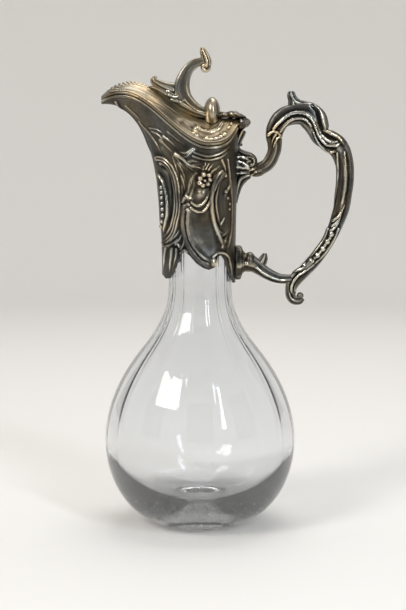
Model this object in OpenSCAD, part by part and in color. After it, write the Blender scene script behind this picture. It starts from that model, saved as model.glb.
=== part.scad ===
// Claret jug: a fluted glass body in a cast collar with a spout, a scroll handle and a hinged lid.
// Millimetres, +Z up. The origin is the centre of the flat base, the spout points along -X.

/* [Glass body] */
// Radius of the belly at its widest
belly_r = 60.9; // [57:0.1:65]
// Height of the widest part of the belly
belly_z = 53.7; // [49:0.1:59]
// Radius of the flat base
base_r = 19.7; // [16:0.1:24]
// Radius where the shoulder turns from bulging out to curving in
shoulder_r = 36.9; // [33:0.1:41]
// Height of that turning line
shoulder_z = 113.2; // [108:0.1:118]
// Outer radius of the glass neck
neck_r = 20.2; // [19:0.1:20.5]
// Height where the neck becomes straight
neck_z = 152.5; // [149:0.5:160]
// Height of the glass lip inside the collar
lip_z = 219.8; // [215:0.1:222]
// Thickness of the glass in the neck
neck_wall = 1.9; // [1.5:0.1:2.4]
// Thickness of the glass at the belly
belly_wall = 2.6; // [2:0.1:3.7]
// Thickness of the glass under the bowl
base_t = 7.4; // [5:0.1:10]

/* [Collar and spout] */
// Outer radius of the plain tube of the collar
collar_r = 23.4; // [23:0.1:24.6]
// Thickness of the cast wall
collar_wall = 1.4; // [1.2:0.1:1.6]
// Half of the width of the mouth
mouth_half_w = 24.6; // [23.8:0.1:27]
// Distance of the back of the mouth behind its widest place
mouth_back = 20.5; // [19.8:0.1:21.2]
// Distance of the spout's tip before the widest place
spout_reach = 66.8; // [61:0.1:70]
// How much the mouth narrows towards the tip, as a share of its width
spout_pinch = 0.55; // [0.45:0.01:0.6]
// Height of the mouth's edge at the sides
side_z = 238.2; // [236:0.1:241]
// Rise of the edge from the sides to the highest part of the spout
spout_rise = 32.4; // [28:0.1:35]
// Rise of the edge from the sides to the hinge
back_rise = 16.4; // [14:0.1:16.6]
// Height of the edge of the collar between its lappets
hem_z = 174.7; // [172:0.1:178]
// Length of the front lappet below that edge
front_lappet = 16; // [11.5:0.5:18]
// Length of the side lappets
side_lappet = 11.5; // [7.5:0.5:13]
// Length of the rear lappet
rear_lappet = 19.7; // [16.5:0.1:20.5]
// Height of the relief of the scrolls
relief_h = 1.2; // [0.6:0.1:1.5]

/* [Rim] */
// Height of the moulded wire on the edge of the mouth
rim_h = 1.8; // [1.5:0.1:2.1]
// Width of that wire
rim_w = 2.5; // [2.2:0.1:2.8]

/* [Lid] */
// Thickness of the lid
lid_t = 1.4; // [1.1:0.1:1.8]
// Height of the ridge above the edge
ridge_h = 16.8; // [16.6:0.1:18]
// How far the locating flange reaches below the lid's edge
bezel_h = 3.7; // [3.1:0.1:4.1]
// Thickness of that flange
bezel_t = 0.9; // [0.8:0.1:1.2]

/* [Thumb scroll] */
// Width of the scroll across the jug
scroll_w = 10.7; // [8.2:0.1:12.3]
// Radius of the knob at its lower end
knob_r = 5.6; // [4.6:0.1:5.9]

/* [Hinge] */
// Distance of the hinge's axis behind the mouth's edge
hinge_back = 3.8; // [3.7:0.1:4.6]
// Height of the hinge's axis above the mouth's edge at the back
hinge_up = 1; // [0.8:0.1:1.6]
// Outer radius of the knuckles
knuckle_r = 2.5; // [2.3:0.1:2.6]
// Radius of the pin
pin_r = 1; // [0.8:0.05:1.15]
// Length of one knuckle
knuckle_l = 3.8; // [3.3:0.1:4.4]

/* [Handle] */
// Width of the handle across the jug
handle_w = 9.8; // [7.4:0.1:11.5]
// Distance from the back of the collar to the middle of the grip
handle_reach = 69.3; // [66.5:0.1:72]
// Height of the bud on the handle's top
bud_h = 10.2; // [6.6:0.1:12.3]
// Width of the lower bracket across the jug
bracket_w = 9; // [6.6:0.1:10.6]

/* [Hidden] */

// The tables of the castings and the bends of the glass are drawn on a grid of this many millimetres
grid = 0.82;

// Clearances
seam = 0.2;
seat_gap = 0.25;
lid_rest = 0.4;
lid_seat = 0.4;
bezel_side = 0.75;
run_fit = 0.05;
knuckle_gap = 0.2;

// The angle between two meridians of the collar, the rim and the lid, which all share their facets
turn = 4.5;

// The collar's axis stands a little in front of the glass's, and the mouth's widest place behind it
collar_x = -0.8;
mouth_x = 4.9;
collar_back = collar_x + collar_r;
rim_back = mouth_x + mouth_back;
hinge_x = rim_back + hinge_back;
hinge_z = side_z + back_rise + hinge_up;
spout_arc = 109.5;

silver = "#8d867a";
dark_silver = "#6f695f";

// ---------- curves and surfaces ----------

function mix(a, b, f) = a + (b - a) * f;
function clamp(x, low, high) = min(max(x, low), high);
function unit(v) = v / max(norm(v), 1e-9);
function bezier(a, b, c, d, s) =
    a * (1 - s) ^ 3 + 3 * b * s * (1 - s) ^ 2 + 3 * c * s ^ 2 * (1 - s) + d * s ^ 3;
// A soft bump: 1 at 0, and 0 from 1 outwards
function bump(x) = abs(x) >= 1 ? 0 : (0.5 + 0.5 * cos(180 * x));
// A narrow ridge of a given width
function ridge(x, w) = exp(-(x / w) ^ 2);
function mean(list) = list * [for (i = list) 1] / len(list);
function mean_point(ring) = [for (k = [0:2]) mean([for (p = ring) p[k]])];

// A smooth curve through stations, with n steps between two of them
function through(p, i, f) =
    let (n = len(p) - 1, a = p[max(i - 1, 0)], b = p[i], c = p[min(i + 1, n)], d = p[min(i + 2, n)])
    0.5 * (2 * b + (c - a) * f + (2 * a - 5 * b + 4 * c - d) * f ^ 2 + (3 * b - a - 3 * c + d) * f ^ 3);
function smooth(p, n) =
    [for (i = [0:len(p) - 2], k = [0:n - 1]) through(p, i, k / n), p[len(p) - 1]];

// An end cap in strips across a ring of n points. The strips run outwards on both sides of the apex,
// which is a point's number, or a half where the apex lies between two points.
function cap(n, apex) =
    let (h = apex - floor(apex))
    [for (i = [0:n / 2 - (h > 0 ? 2 : 1)])
        let (a = (n + apex - h - i) % n, b = (n + apex - h - i - 1) % n,
             c = (n + apex + h + i + 1) % n, d = (n + apex + h + i) % n)
        each concat(b != c ? [[d, c, b]] : [], a != d ? [[d, b, a]] : [])];

// A closed solid through rings of equal length. A loop joins its last ring to its first.
// The apex is that of the first ring's cap. The last cap's strips start between its first and last points.
// The faces are turned outwards whichever way the rings run.
module skin(rings, loop = false, apex = -0.5) {
    m = len(rings);
    n = len(rings[0]);
    points = [for (r = rings) each r];
    sides = [for (i = [0:loop ? m - 1 : m - 2], j = [0:n - 1])
        let (this = i * n, next = ((i + 1) % m) * n, k = (j + 1) % n,
             a = this + j, b = this + k, c = next + k, d = next + j)
        each [[a, c, b], [a, d, c]]];
    end = (m - 1) * n;
    caps = loop ? [] : concat(cap(n, apex), [for (f = cap(n, -0.5)) [end + f[2], end + f[1], end + f[0]]]);
    faces = concat(sides, caps);
    swept = [for (f = faces) points[f[0]] * cross(points[f[1]], points[f[2]])];
    inside_out = swept * [for (v = swept) 1] > 0;
    polyhedron(
        points = points,
        faces = inside_out ? [for (f = faces) [f[2], f[1], f[0]]] : faces,
        convexity = 8);
}

// ---------- the glass ----------

function glass_outer() = concat(
    [for (k = [0:14]) let (z = belly_z * (k / 14) ^ 1.6)
        [base_r + (belly_r - base_r) * sqrt(1 - ((belly_z - z) / belly_z) ^ 2), z]],
    [for (k = [1:10]) bezier([belly_r, belly_z], [belly_r, belly_z + 28 * grid],
        [shoulder_r + 17.6 * grid, shoulder_z - 22 * grid], [shoulder_r, shoulder_z], k / 10)],
    [for (k = [1:9]) bezier([shoulder_r, shoulder_z], [shoulder_r - 13.6 * grid, shoulder_z + 17 * grid],
        [neck_r, neck_z - 18 * grid], [neck_r, neck_z], k / 9)],
    [[neck_r, lip_z - 1], [neck_r - 0.6, lip_z]]);

function glass_inner() =
    let (r = belly_r - belly_wall, s = shoulder_r - neck_wall - 0.8, n = neck_r - neck_wall)
    concat(
        [for (k = [0:14]) let (z = mix(base_t, belly_z, (k / 14) ^ 1.6))
            [r * sqrt(1 - ((belly_z - z) / (belly_z - base_t)) ^ 2), z]],
        [for (k = [1:10]) bezier([r, belly_z], [r, belly_z + 27 * grid],
            [s + 17.9 * grid, shoulder_z - 22 * grid], [s, shoulder_z], k / 10)],
        [for (k = [1:9]) bezier([s, shoulder_z], [s - 13.1 * grid, shoulder_z + 17 * grid],
            [n, neck_z - 18 * grid], [n, neck_z], k / 9)],
        [[n, lip_z - 0.6], [n + 0.4, lip_z]]);

module glass_body() {
    inside = glass_inner();
    color([0.8, 0.82, 0.84, 0.4])
    rotate_extrude($fn = 96)
        polygon(concat([[0, 0]], glass_outer(), [for (k = [len(inside) - 1:-1:0]) inside[k]]));
}

module neck_plaster() {
    low = hem_z + 5;
    color("#e6e0d2")
    translate([collar_x, 0, low])
        difference() {
            cylinder(h = lip_z - 11.5 - low, r = collar_r - collar_wall - seat_gap, $fn = 72);
            translate([-collar_x, 0, -1])
                cylinder(h = lip_z, r = neck_r + run_fit, $fn = 72);
        }
}

// ---------- the collar ----------

// The mouth seen from above: half an ellipse behind, and a drawn-out spout before
function ahead(a) = max(0, -cos(a));
function behind(a) = max(0, cos(a));
function rim_xy(a) = [
    mouth_x + mouth_back * behind(a) - spout_reach * ahead(a),
    mouth_half_w * sin(a) * (1 - spout_pinch * ahead(a) ^ 2)];
function rim_z(a) =
    side_z + spout_rise * sin(spout_arc * ahead(a)) ^ 1.8 + back_rise * behind(a) ^ 3.2;

// The lower edge with its lappets
function from_front(a) = abs(a - 180);
function from_back(a) = 180 - from_front(a);
function lappet(d, flat, edge) = let (f = clamp((edge - d) / (edge - flat), 0, 1)) f * f * (3 - 2 * f);
function hem(a) =
    hem_z
    - front_lappet * (0.9 * lappet(from_front(a), 40, 64) + 0.1 * bump(from_front(a) / 40))
    - side_lappet * bump((from_back(a) - 74) / (from_back(a) > 74 ? 46 : 19)) ^ 0.8
    - rear_lappet * bump(from_back(a) / 50) ^ 0.38;

// A point of the plain outer surface, on the meridian a, from the hem at t = 0 to the rim at t = 1
function collar_z(a, t) =
    let (q = ahead(a), low = hem(a), high = rim_z(a))
    bezier(low, mix(low, high, mix(0.333, 0.683, q)), mix(low, high, mix(0.667, 1.015, q)), high, t);
function collar_at(a, t) =
    let (h = 0.78 * t ^ 2 * (1 - t) + t ^ 3, r = rim_xy(a))
    [mix(collar_x + collar_r * cos(a), r[0], h), mix(collar_r * sin(a), r[1], h), collar_z(a, t)];
function collar_out(a, t) =
    unit(cross(collar_at(a + 0.5, t) - collar_at(a - 0.5, t),
               collar_at(a, min(t + 0.01, 1)) - collar_at(a, max(t - 0.01, 0))));

// Where the meridian a reaches the height z
function reach(a, z, low = 0, high = 1, n = 14) =
    n == 0 ? (low + high) / 2 :
    let (t = (low + high) / 2)
    collar_z(a, t) < z ? reach(a, z, t, high, n - 1) : reach(a, z, low, t, n - 1);

// The relief, drawn on the grid: a bossed cartouche in front, and C-scrolls with a hollow on each side.
// The first number is the distance round the tube from its back, the second the height.
// The sides of the mouth's edge stand at this height of the drawing.
drawn_side_z = 291.5;
cartouche = [29, 33.5];
cartouche_z = 252;
c_scroll = [[57, 254], [56.5, 240], [55.5, 226], [52, 215], [47, 207.5], [41, 203.5], [35, 202.5], [31, 205]];
shell_scroll = [[24, 262], [26, 275], [33, 282], [43, 280], [52, 286], [60, 298]];
back_scroll = [[16, 275], [22, 262], [25, 245], [23, 228], [18, 216]];
function from_line(p, a, b) = norm(p - mix(a, b, clamp((p - a) * (b - a) / ((b - a) * (b - a)), 0, 1)));
function from_lines(p, line) = min([for (i = [0:len(line) - 2]) from_line(p, line[i], line[i + 1])]);
function relief(a, z) =
    let (round = collar_r * PI / grid,
         p = [round * from_back(a) / 180, drawn_side_z + (z - side_z) / grid],
         e = norm([(round - p[0]) / cartouche[0], (p[1] - cartouche_z) / cartouche[1]]),
         scroll = min(from_lines(p, c_scroll), from_lines(p, shell_scroll), from_lines(p, back_scroll)))
    relief_h * max(ridge(scroll, 2.6), ridge((e - 1) * cartouche[0], 2.4),
        0.8 * ridge((e - 0.72) * cartouche[0], 2), 1.3 * bump(e / 0.66) ^ 0.5);

turns = [for (j = [0:360 / turn - 1]) j * turn];
collar_levels = 32;
module collar_mount() {
    outer = [for (i = [0:collar_levels]) let (t = i / collar_levels)
        [for (a = turns) let (p = collar_at(a, t), edge = bump((t - 1) / 0.05))
            p + collar_out(a, t) * relief(a, p[2]) * (1 - edge)]];
    inner = [for (i = [8:-1:0]) let (t = i / 8)
        [for (a = turns) collar_at(a, t) - mix(collar_out(a, t), rim_out(a), t ^ 6) * collar_wall]];
    color(silver) skin(concat(outer, inner), loop = true);
}

// The middle of the collar's wall along the rim, and its outward direction there
function rim_out(a) =
    let (d = rim_xy(a + 0.5) - rim_xy(a - 0.5))
    unit([d[1], -d[0], 0]);
function rim_mid(a) = let (r = rim_xy(a)) [r[0], r[1], rim_z(a)] - rim_out(a) * collar_wall / 2;

// A wire that follows the rim: its section's points are [outwards, up]
function bead(w, h, z0, n) = [for (k = [0:n - 1]) let (b = -360 * k / n)
    [w / 2 * cos(b), z0 + h / 2 + h / 2 * sign(sin(b)) * abs(sin(b)) ^ 0.6]];
module rim_moulding() {
    color(dark_silver)
    skin([for (a = turns)
        [for (q = bead(rim_w, rim_h, seam, 8)) rim_mid(a) + rim_out(a) * q[0] + [0, 0, q[1]]]], loop = true);
}

module throat_ring() {
    z = lip_z + seam;
    outline = [for (a = [0:5:355])
        let (p = collar_at(a, reach(a, z)), n = collar_out(a, reach(a, z)), level = unit([n[0], n[1]]))
        [p[0], p[1]] - level * (collar_wall * 1.1 + seat_gap)];
    color(silver)
    translate([0, 0, z])
        difference() {
            linear_extrude(1) polygon(outline);
            translate([0, 0, -1]) cylinder(h = 3, r = neck_r - neck_wall, $fn = 72);
        }
}

// ---------- the lid ----------

lid_gap = seam + rim_h + lid_rest;
function lid_edge_z(a) = rim_z(a) + lid_gap;
// The ridge rises from a low nose to the middle, and stays level from there to the hinge
function ridge_at(a) = cos(a) < 0 ? ridge_h * (1 - 0.93 * ahead(a) ^ 1.7) : ridge_h - (rim_z(a) - side_z);
// The hollow flank, from 0 at the edge (v = 1) to 1 at the rounded ridge (v = 0)
function flank(v) = ((1 - sqrt(v * v + 0.01)) / 0.9 + 0.0055 * v) ^ 1.5;
// The lid's half width, its edge at the meridian a, and the height of its top over a place:
// before the middle the flanks run across the jug, and behind it they run in to the middle
lid_over = 0.3;
function lid_half(a) = sin(a) * (mouth_half_w * (1 - spout_pinch * ahead(a) ^ 2) + lid_over);
function lid_top(x, y) =
    let (c = (x - mouth_x) / ((x > mouth_x ? mouth_back : spout_reach) + lid_over),
         w = abs(y) / (mouth_half_w + lid_over),
         a = x > mouth_x ? atan2(w, c) : acos(clamp(c, -0.9985, 0)),
         v = x > mouth_x ? norm([c, w]) : abs(y) / lid_half(a))
    lid_edge_z(a) + lid_t + ridge_at(a) * flank(clamp(v, 0, 0.995));
function lid_at(a, v) =
    let (x = rim_xy(a)[0] + lid_over * cos(a), y = lid_half(a) * v)
    [x, y, lid_top(x, y)];

lid_across = [for (k = [-7:7]) sign(k) * (abs(k) / 7) ^ 1.25];
lid_turns = [for (j = [1:180 / turn - 1]) j * turn];
module lid_shell() {
    color(silver)
    skin([for (a = lid_turns) concat(
        [for (v = lid_across) lid_at(a, v)],
        [for (k = [14:-1:0]) let (v = lid_across[k])
            lid_at(a, v * (1 - lid_t * 0.25 / max(rim_xy(a)[1], 2.5))) - [0, 0, lid_t]])]);
}

// A raised border stands on each side of the lid, just inside its edge
module lid_border(side) {
    shoulder = [0, 0, 0.9];
    crest = [0, 0, 1.4];
    foot = [0, 0, seam];
    color(dark_silver)
    skin([for (a = [6 * turn:turn:35 * turn])
        let (edge = lid_at(a, 1), inside = lid_at(a, lid_across[13]),
             outside = mix(edge, inside, 0.3), middle = mix(edge, inside, 0.65))
        [for (s = [outside + shoulder, middle + crest, inside + shoulder,
                   inside + foot, middle + foot, outside + foot])
            [s[0], s[1] * side, s[2]]]]);
}

// The locating flange under the lid: it runs round the back of the mouth and along both of its sides
module lid_bezel() {
    inset = rim_w / 2 + bezel_side;
    color(silver)
    skin([for (a = [-25 * turn:turn:25 * turn])
        let (near = rim_mid(a) - rim_out(a) * inset, far = near - rim_out(a) * bezel_t,
             low = lid_edge_z(a) - bezel_h, drop = lid_t + lid_seat)
        [[near[0], near[1], low], [near[0], near[1], lid_top(near[0], near[1]) - drop],
         [far[0], far[1], lid_top(far[0], far[1]) - drop], [far[0], far[1], low]]]);
}

// ---------- swept castings ----------

// A solid along a path in the XZ plane. Each station is [x, z, thickness, width across].
// Where over_lid is set, its underside is seated on the lid.
function sweep_rings(stations, sides = 12, over_lid = false) =
    let (n = len(stations) - 1)
    [for (i = [0:n])
        let (s = stations[i], before = stations[max(i - 2, 0)], after = stations[min(i + 2, n)],
             along = unit([after[0] - before[0], after[1] - before[1]]))
        [for (k = [0:sides - 1])
            let (b = 360 * k / sides,
                 c = sign(cos(b)) * abs(cos(b)) ^ 0.8 * s[2] / 2,
                 x = s[0] - along[1] * c,
                 y = sin(b) * s[3] / 2,
                 z = s[1] + along[0] * c)
            [x, y, over_lid ? max(z, lid_top(x, y) + lid_seat) : z]]];

// Stations from a table on the grid, with the widths as shares of the piece's own width
function placed(table, x0, z0, width) =
    [for (s = table) [x0 + grid * s[0], z0 + grid * s[1], grid * s[2], s[3] * width]];

// The collar's back: the outer surface at the height z and the distance y from the middle
function back_at(a, z) = collar_at(a, reach(a, z));
function back_angle(y, z, low = 0, high = 70, n = 12) =
    n == 0 ? (low + high) / 2 :
    let (a = (low + high) / 2)
    back_at(a, z)[1] < abs(y) ? back_angle(y, z, a, high, n - 1) : back_angle(y, z, low, a, n - 1);
function back_x(y, z) = back_at(back_angle(y, z), z)[0];

// ---------- the handle ----------

// All of the handle hangs from this place at the back of the collar
hx = collar_back;
hz = side_z;
// What lies beyond the loop's upper bend is moved with the reach
function drawn_out(x) = x > 60 ? x * mix(1, handle_reach / grid / 84.5, clamp((x - 60) / 24.5, 0, 1)) : x;
handle_table = [
    [16, -15, 10.6, 0.75], [22.5, -12, 9.8, 0.75], [26.5, -8, 10.2, 0.78], [29.5, -1, 10.3, 0.82],
    [30, 5, 11.2, 0.85], [29.5, 10, 12.6, 0.92], [30, 15, 13.7, 0.95], [31.5, 19, 14.1, 0.98],
    [34, 23, 14.6, 1], [38, 26, 15.1, 1], [43, 27.5, 15.7, 1], [49, 28.5, 17.2, 1.03],
    [55, 27.5, 20, 1.05], [60.5, 23, 20.4, 1.05], [63.5, 16.5, 17.7, 1.02], [66, 11, 15.3, 1],
    [71.5, 8, 16.2, 1], [77.5, 4, 16.5, 1.02], [81.5, -2, 15.4, 1.02], [84, -10.5, 14, 1],
    [84.5, -17, 13.8, 1], [84.5, -24.5, 13.3, 0.98], [83.5, -33.5, 12.9, 0.95],
    [82, -44, 12.5, 0.92], [79.5, -52, 11.6, 0.88], [76.5, -60, 10.5, 0.85], [72, -69, 9.9, 0.82],
    [66.5, -78, 9.7, 0.78], [60.5, -86, 9.5, 0.75], [54, -92.5, 9.8, 0.72], [48, -98, 10.5, 0.7],
    [44, -104, 9.5, 0.67], [43, -109, 8.3, 0.63], [43.5, -113, 7.6, 0.6], [46, -115.5, 7.3, 0.57],
    [50, -115.5, 7, 0.53], [52, -113.5, 5.5, 0.47]];
handle_rings = sweep_rings(smooth(
    placed([for (s = handle_table) [drawn_out(s[0]), s[1], s[2], s[3]]], hx, hz, handle_w), 2));

// The bud stands on the handle's highest place, with its foot sunk a little into it.
// Each of its stations is [lean and height as shares of its height, thickness, width].
bud_foot = [44, 32];
bud_sunk = 0.9;
bud_table = [
    [0, 0, 8.4, 8], [0.02, 0.4, 7.4, 7.6], [0.06, 0.7, 6.3, 6.4], [0.1, 0.9, 3.8, 4], [0.1, 1, 1.2, 1.4]];
module handle_bud() {
    x0 = hx + grid * bud_foot[0];
    z0 = hz + grid * bud_foot[1];
    skin(sweep_rings([for (s = bud_table)
        [x0 - bud_h * s[0], z0 + (bud_h + bud_sunk) * s[1], grid * s[2], grid * s[3]]], 8));
}

module handle() {
    color(silver)
    union() {
        skin(handle_rings);
        handle_bud();
    }
}

// The socket's first ring lies on the collar, and its last one meets the handle's first.
// A volute rolls over its top, and a leaf runs down the collar below it.
socket_z = hz - 7.8 * grid;
module handle_socket() {
    root = handle_rings[0];
    middle = mean_point(root);
    along = unit(mean_point(handle_rings[1]) - middle);
    foot = [for (p = root) let (y = p[1] * 2, z = socket_z + (p[2] - middle[2]) * 2.4)
        [back_x(y, z) + seat_gap, y, z]];
    neck = [for (p = root) middle + (p - middle) * 1.14 - along * seam];
    color(dark_silver)
    union() {
        skin([for (f = [0, 0.12, 0.3, 0.55, 0.8, 1])
            [for (k = [0:len(root) - 1])
                let (p = mix(foot[k], neck[k], f), core = mix(socket_z, middle[2], f),
                     swell = 1 + 0.12 * bump((f - 0.12) / 0.3))
                f == 0 || f == 1 ? p : [p[0], p[1] * swell, mix(core, p[2], swell)]]], apex = 3);
        translate([hx + 10.3 * grid, 0, socket_z + 2.4 * grid])
            rotate([90, 0, 0]) cylinder(h = 0.85 * handle_w, r = 4.4 * grid, center = true, $fn = 36);
        skin([for (f = [0, 0.25, 0.5, 0.75, 1])
            let (z = hz - mix(38, 18, f) * grid, half = mix(1.2, 5, f) * grid,
                 thick = mix(0.6, 6.4, f ^ 1.6) * grid, ys = [for (k = [-2:2]) half * k / 2])
            concat([for (y = ys) [back_x(y, z) + seat_gap, y, z]],
                [for (k = [2:-1:-2])
                    [back_x(0, z) + seat_gap + thick * (1 - 0.12 * k * k), ys[k + 2], z]])]);
    }
}

// The bracket's pad lies on the collar, and its end stands against the handle's tail
bracket_z = hz - 87.3 * grid;
bracket_table = [
    [2.6, 0, 26, 1.32], [4.4, 0, 25, 1.27], [6, 0, 18, 1.05], [8.3, 0, 16.3, 1.14], [12.2, 0, 16.3, 1.14],
    [15, -1.5, 14, 1.05], [17.4, -4.5, 13, 0.95], [20, -7, 13.4, 0.95], [24, -10.6, 10.9, 0.91],
    [29.3, -12.8, 9.3, 0.86], [34.8, -13.3, 8.8, 0.8], [40.6, -13, 7.8, 0.73]];
spur_table = [[18.8, -4, 7, 0.64], [20.3, 1, 5.4, 0.59], [22.1, 5, 3.5, 0.45], [23.8, 8.2, 0.9, 0.18]];
module handle_bracket() {
    rings = sweep_rings(placed(bracket_table, hx, bracket_z, bracket_w));
    last = len(rings) - 1;
    tail = [for (i = [57:66]) [handle_rings[i][6][2], handle_rings[i][6][0]]];
    foot = [for (p = rings[0]) [back_x(p[1], p[2]) + seat_gap, p[1], p[2]]];
    end = [for (p = rings[last]) [lookup(p[2], tail) - seat_gap, p[1], p[2]]];
    color(dark_silver)
    union() {
        skin(concat([foot], [for (i = [1:last - 1]) rings[i]], [end]), apex = 3);
        skin(sweep_rings(placed(spur_table, hx, bracket_z, bracket_w), 8));
    }
}

// ---------- the hinge ----------

pitch = knuckle_l + knuckle_gap;
hinge_w = 5 * pitch - knuckle_gap;
module knuckle(i) {
    translate([hinge_x, (i - 2) * pitch + knuckle_l / 2, hinge_z])
        rotate([90, 0, 0]) cylinder(h = knuckle_l, r = knuckle_r, $fn = 48);
}
module pin_bore() {
    translate([hinge_x, hinge_w, hinge_z])
        rotate([90, 0, 0]) cylinder(h = 2 * hinge_w, r = pin_r + run_fit, $fn = 32);
}
// The web that ties a knuckle to its leaf
module web(i, x0, z0, x1, z1) {
    translate([x0, (i - 2) * pitch - knuckle_l / 2, z0]) cube([x1 - x0, knuckle_l, z1 - z0]);
}

module collar_hinge_leaf() {
    top = hinge_z - knuckle_r - 0.5;
    low = side_z + 3.7;
    outer = hinge_x + 1.3;
    // above this height the plate stands clear of the wire on the mouth's edge
    clear_z = rim_z(asin(hinge_w / 2 / mouth_half_w)) - seam;
    clear_x = rim_back - collar_wall / 2 + rim_w / 2 + lid_rest;
    color(dark_silver)
    difference() {
        union() {
            skin([for (z = [low, mix(low, clear_z, 0.35), mix(low, clear_z, 0.7), clear_z, top])
                let (f = (z - low) / (top - low), half = mix(5.7, hinge_w / 2, f),
                     ys = [for (k = [-3:3]) half * k / 3])
                concat([for (y = ys) [z < clear_z ? back_x(y, z) + seat_gap : clear_x, y, z]],
                    [for (k = [6:-1:0]) [mix(rim_back + 0.9, outer, f), ys[k], z]])]);
            for (i = [0, 2, 4]) {
                knuckle(i);
                web(i, hinge_x - 1.6, top - 0.9, outer, hinge_z - 1.5);
            }
        }
        pin_bore();
    }
}

module hinge_pin() {
    color("#b5b0a6")
    translate([hinge_x, hinge_w / 2 + 0.5, hinge_z])
        rotate([90, 0, 0]) {
            cylinder(h = hinge_w + 1, r = pin_r, $fn = 32);
            translate([0, 0, -0.4]) cylinder(h = 0.7, r = pin_r + 0.5, $fn = 32);
            translate([0, 0, hinge_w + 0.7]) cylinder(h = 0.7, r = pin_r + 0.5, $fn = 32);
        }
}

// The strap: two leaves in a row that stand on the lid and reach over its edge to the knuckles
module lid_hinge_leaf() {
    stop = hinge_x - knuckle_r - 0.4;
    web_top = lid_top(rim_back, 0) + lid_seat + 0.8;
    color(dark_silver)
    difference() {
        union() {
            skin([for (f = [0, 0.12, 0.24, 0.36, 0.48, 0.6, 0.72, 0.84, 1])
                let (x = mix(mouth_x + 7.4, stop, f), half = mix(2.9, hinge_w / 2 - seam, f ^ 1.4),
                     ys = [for (k = [-3:3]) half * k / 3],
                     high = 1.1 + 2.1 * bump((f - 0.3) / 0.3) + 2 * bump((f - 0.84) / 0.3))
                concat([for (y = ys) [x, y, lid_top(x, y) + lid_seat]],
                    [for (k = [6:-1:0])
                        [x, ys[k], lid_top(x, ys[k]) + lid_seat + high * (1 - 0.06 * (k - 3) ^ 2)]])]);
            for (i = [1, 3]) {
                knuckle(i);
                web(i, rim_back + lid_over + seat_gap, hinge_z + 1.6, hinge_x + 0.7, web_top);
            }
        }
        pin_bore();
    }
}

// ---------- the thumb scroll ----------

tx = 3 * grid;
tz = side_z;
c_table = [
    [2, 64.5, 6.5, 0.55], [-3.5, 66, 11, 0.75], [-9.5, 64, 11.2, 0.9], [-13.7, 60.5, 13, 1],
    [-16.8, 56, 14.2, 1], [-18.1, 50.8, 14.2, 1], [-17.6, 44.8, 13.1, 1], [-14.5, 38.7, 11.5, 1],
    [-9.9, 33.4, 10, 1], [-3.8, 29.4, 9.2, 1], [3, 28.2, 9, 1], [8.5, 28.8, 8, 0.95]];
tip_table = [
    [-0.7, 67, 7.2, 0.6], [-0.9, 72, 6.1, 0.5], [-1.2, 75.8, 5.2, 0.4], [-1.1, 78.5, 3.1, 0.3],
    [-0.9, 80, 0.9, 0.15]];
curl_table = [
    [-24, 46.5, 12, 0.8], [-30.2, 48.6, 8.8, 0.7], [-34.8, 50.8, 7.3, 0.6], [-38.3, 53.1, 6.1, 0.55],
    [-38.6, 55.4, 5, 0.5], [-36.4, 56.5, 2.7, 0.4]];
module thumb_scroll() {
    color(silver)
    union() {
        skin(sweep_rings(placed(c_table, tx, tz, scroll_w), 12, true));
        skin(sweep_rings(placed(tip_table, tx, tz, scroll_w), 8));
        skin(sweep_rings(placed(curl_table, tx, tz, scroll_w), 10, true));
        translate([tx + 6.2 * grid, 0, tz + 34 * grid])
            rotate([90, 0, 0]) cylinder(h = 0.9 * scroll_w, r = knob_r, center = true, $fn = 40);
    }
}

glass_body();
neck_plaster();
throat_ring();
collar_mount();
rim_moulding();
collar_hinge_leaf();
hinge_pin();
handle_socket();
handle();
handle_bracket();
lid_shell();
lid_border(-1);  // lid_border_left
lid_border(1);  // lid_border_right
lid_bezel();
lid_hinge_leaf();
thumb_scroll();
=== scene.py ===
"""A claret jug: fluted glass in a cast, silver-plated collar with a scroll handle and a hinged lid.

The castings are surfaces on grids of two parameters, in millimetres. Their ornament is carved along strokes
drawn in the photograph's pixels, which are laid on the near side of a casting and mirrored to its far side.
"""

import bpy
import numpy as np
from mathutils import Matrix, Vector


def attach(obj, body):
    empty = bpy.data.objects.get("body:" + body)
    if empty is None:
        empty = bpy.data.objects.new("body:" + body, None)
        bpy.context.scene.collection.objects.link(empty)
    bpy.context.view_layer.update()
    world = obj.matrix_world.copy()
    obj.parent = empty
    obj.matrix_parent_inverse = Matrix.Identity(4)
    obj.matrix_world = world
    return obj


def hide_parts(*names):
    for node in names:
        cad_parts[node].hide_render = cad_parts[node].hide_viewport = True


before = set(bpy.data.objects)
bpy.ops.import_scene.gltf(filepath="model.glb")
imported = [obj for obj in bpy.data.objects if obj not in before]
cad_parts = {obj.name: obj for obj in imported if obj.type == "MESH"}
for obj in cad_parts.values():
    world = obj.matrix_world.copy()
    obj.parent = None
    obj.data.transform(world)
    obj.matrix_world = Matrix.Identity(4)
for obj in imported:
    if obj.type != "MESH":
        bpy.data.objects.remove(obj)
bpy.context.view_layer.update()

bl_info = {
    "name": "Claret Jug",
    "version": (1, 0, 0),
    "blender": (4, 5, 0),
    "location": "View3D > Sidebar > Claret Jug",
    "description": "Dresses the jug's glass, castings and lid, and sets its stage",
    "category": "Add Mesh",
}

MM = 0.001

# ---------- the construction's sizes, in millimetres ----------

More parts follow.
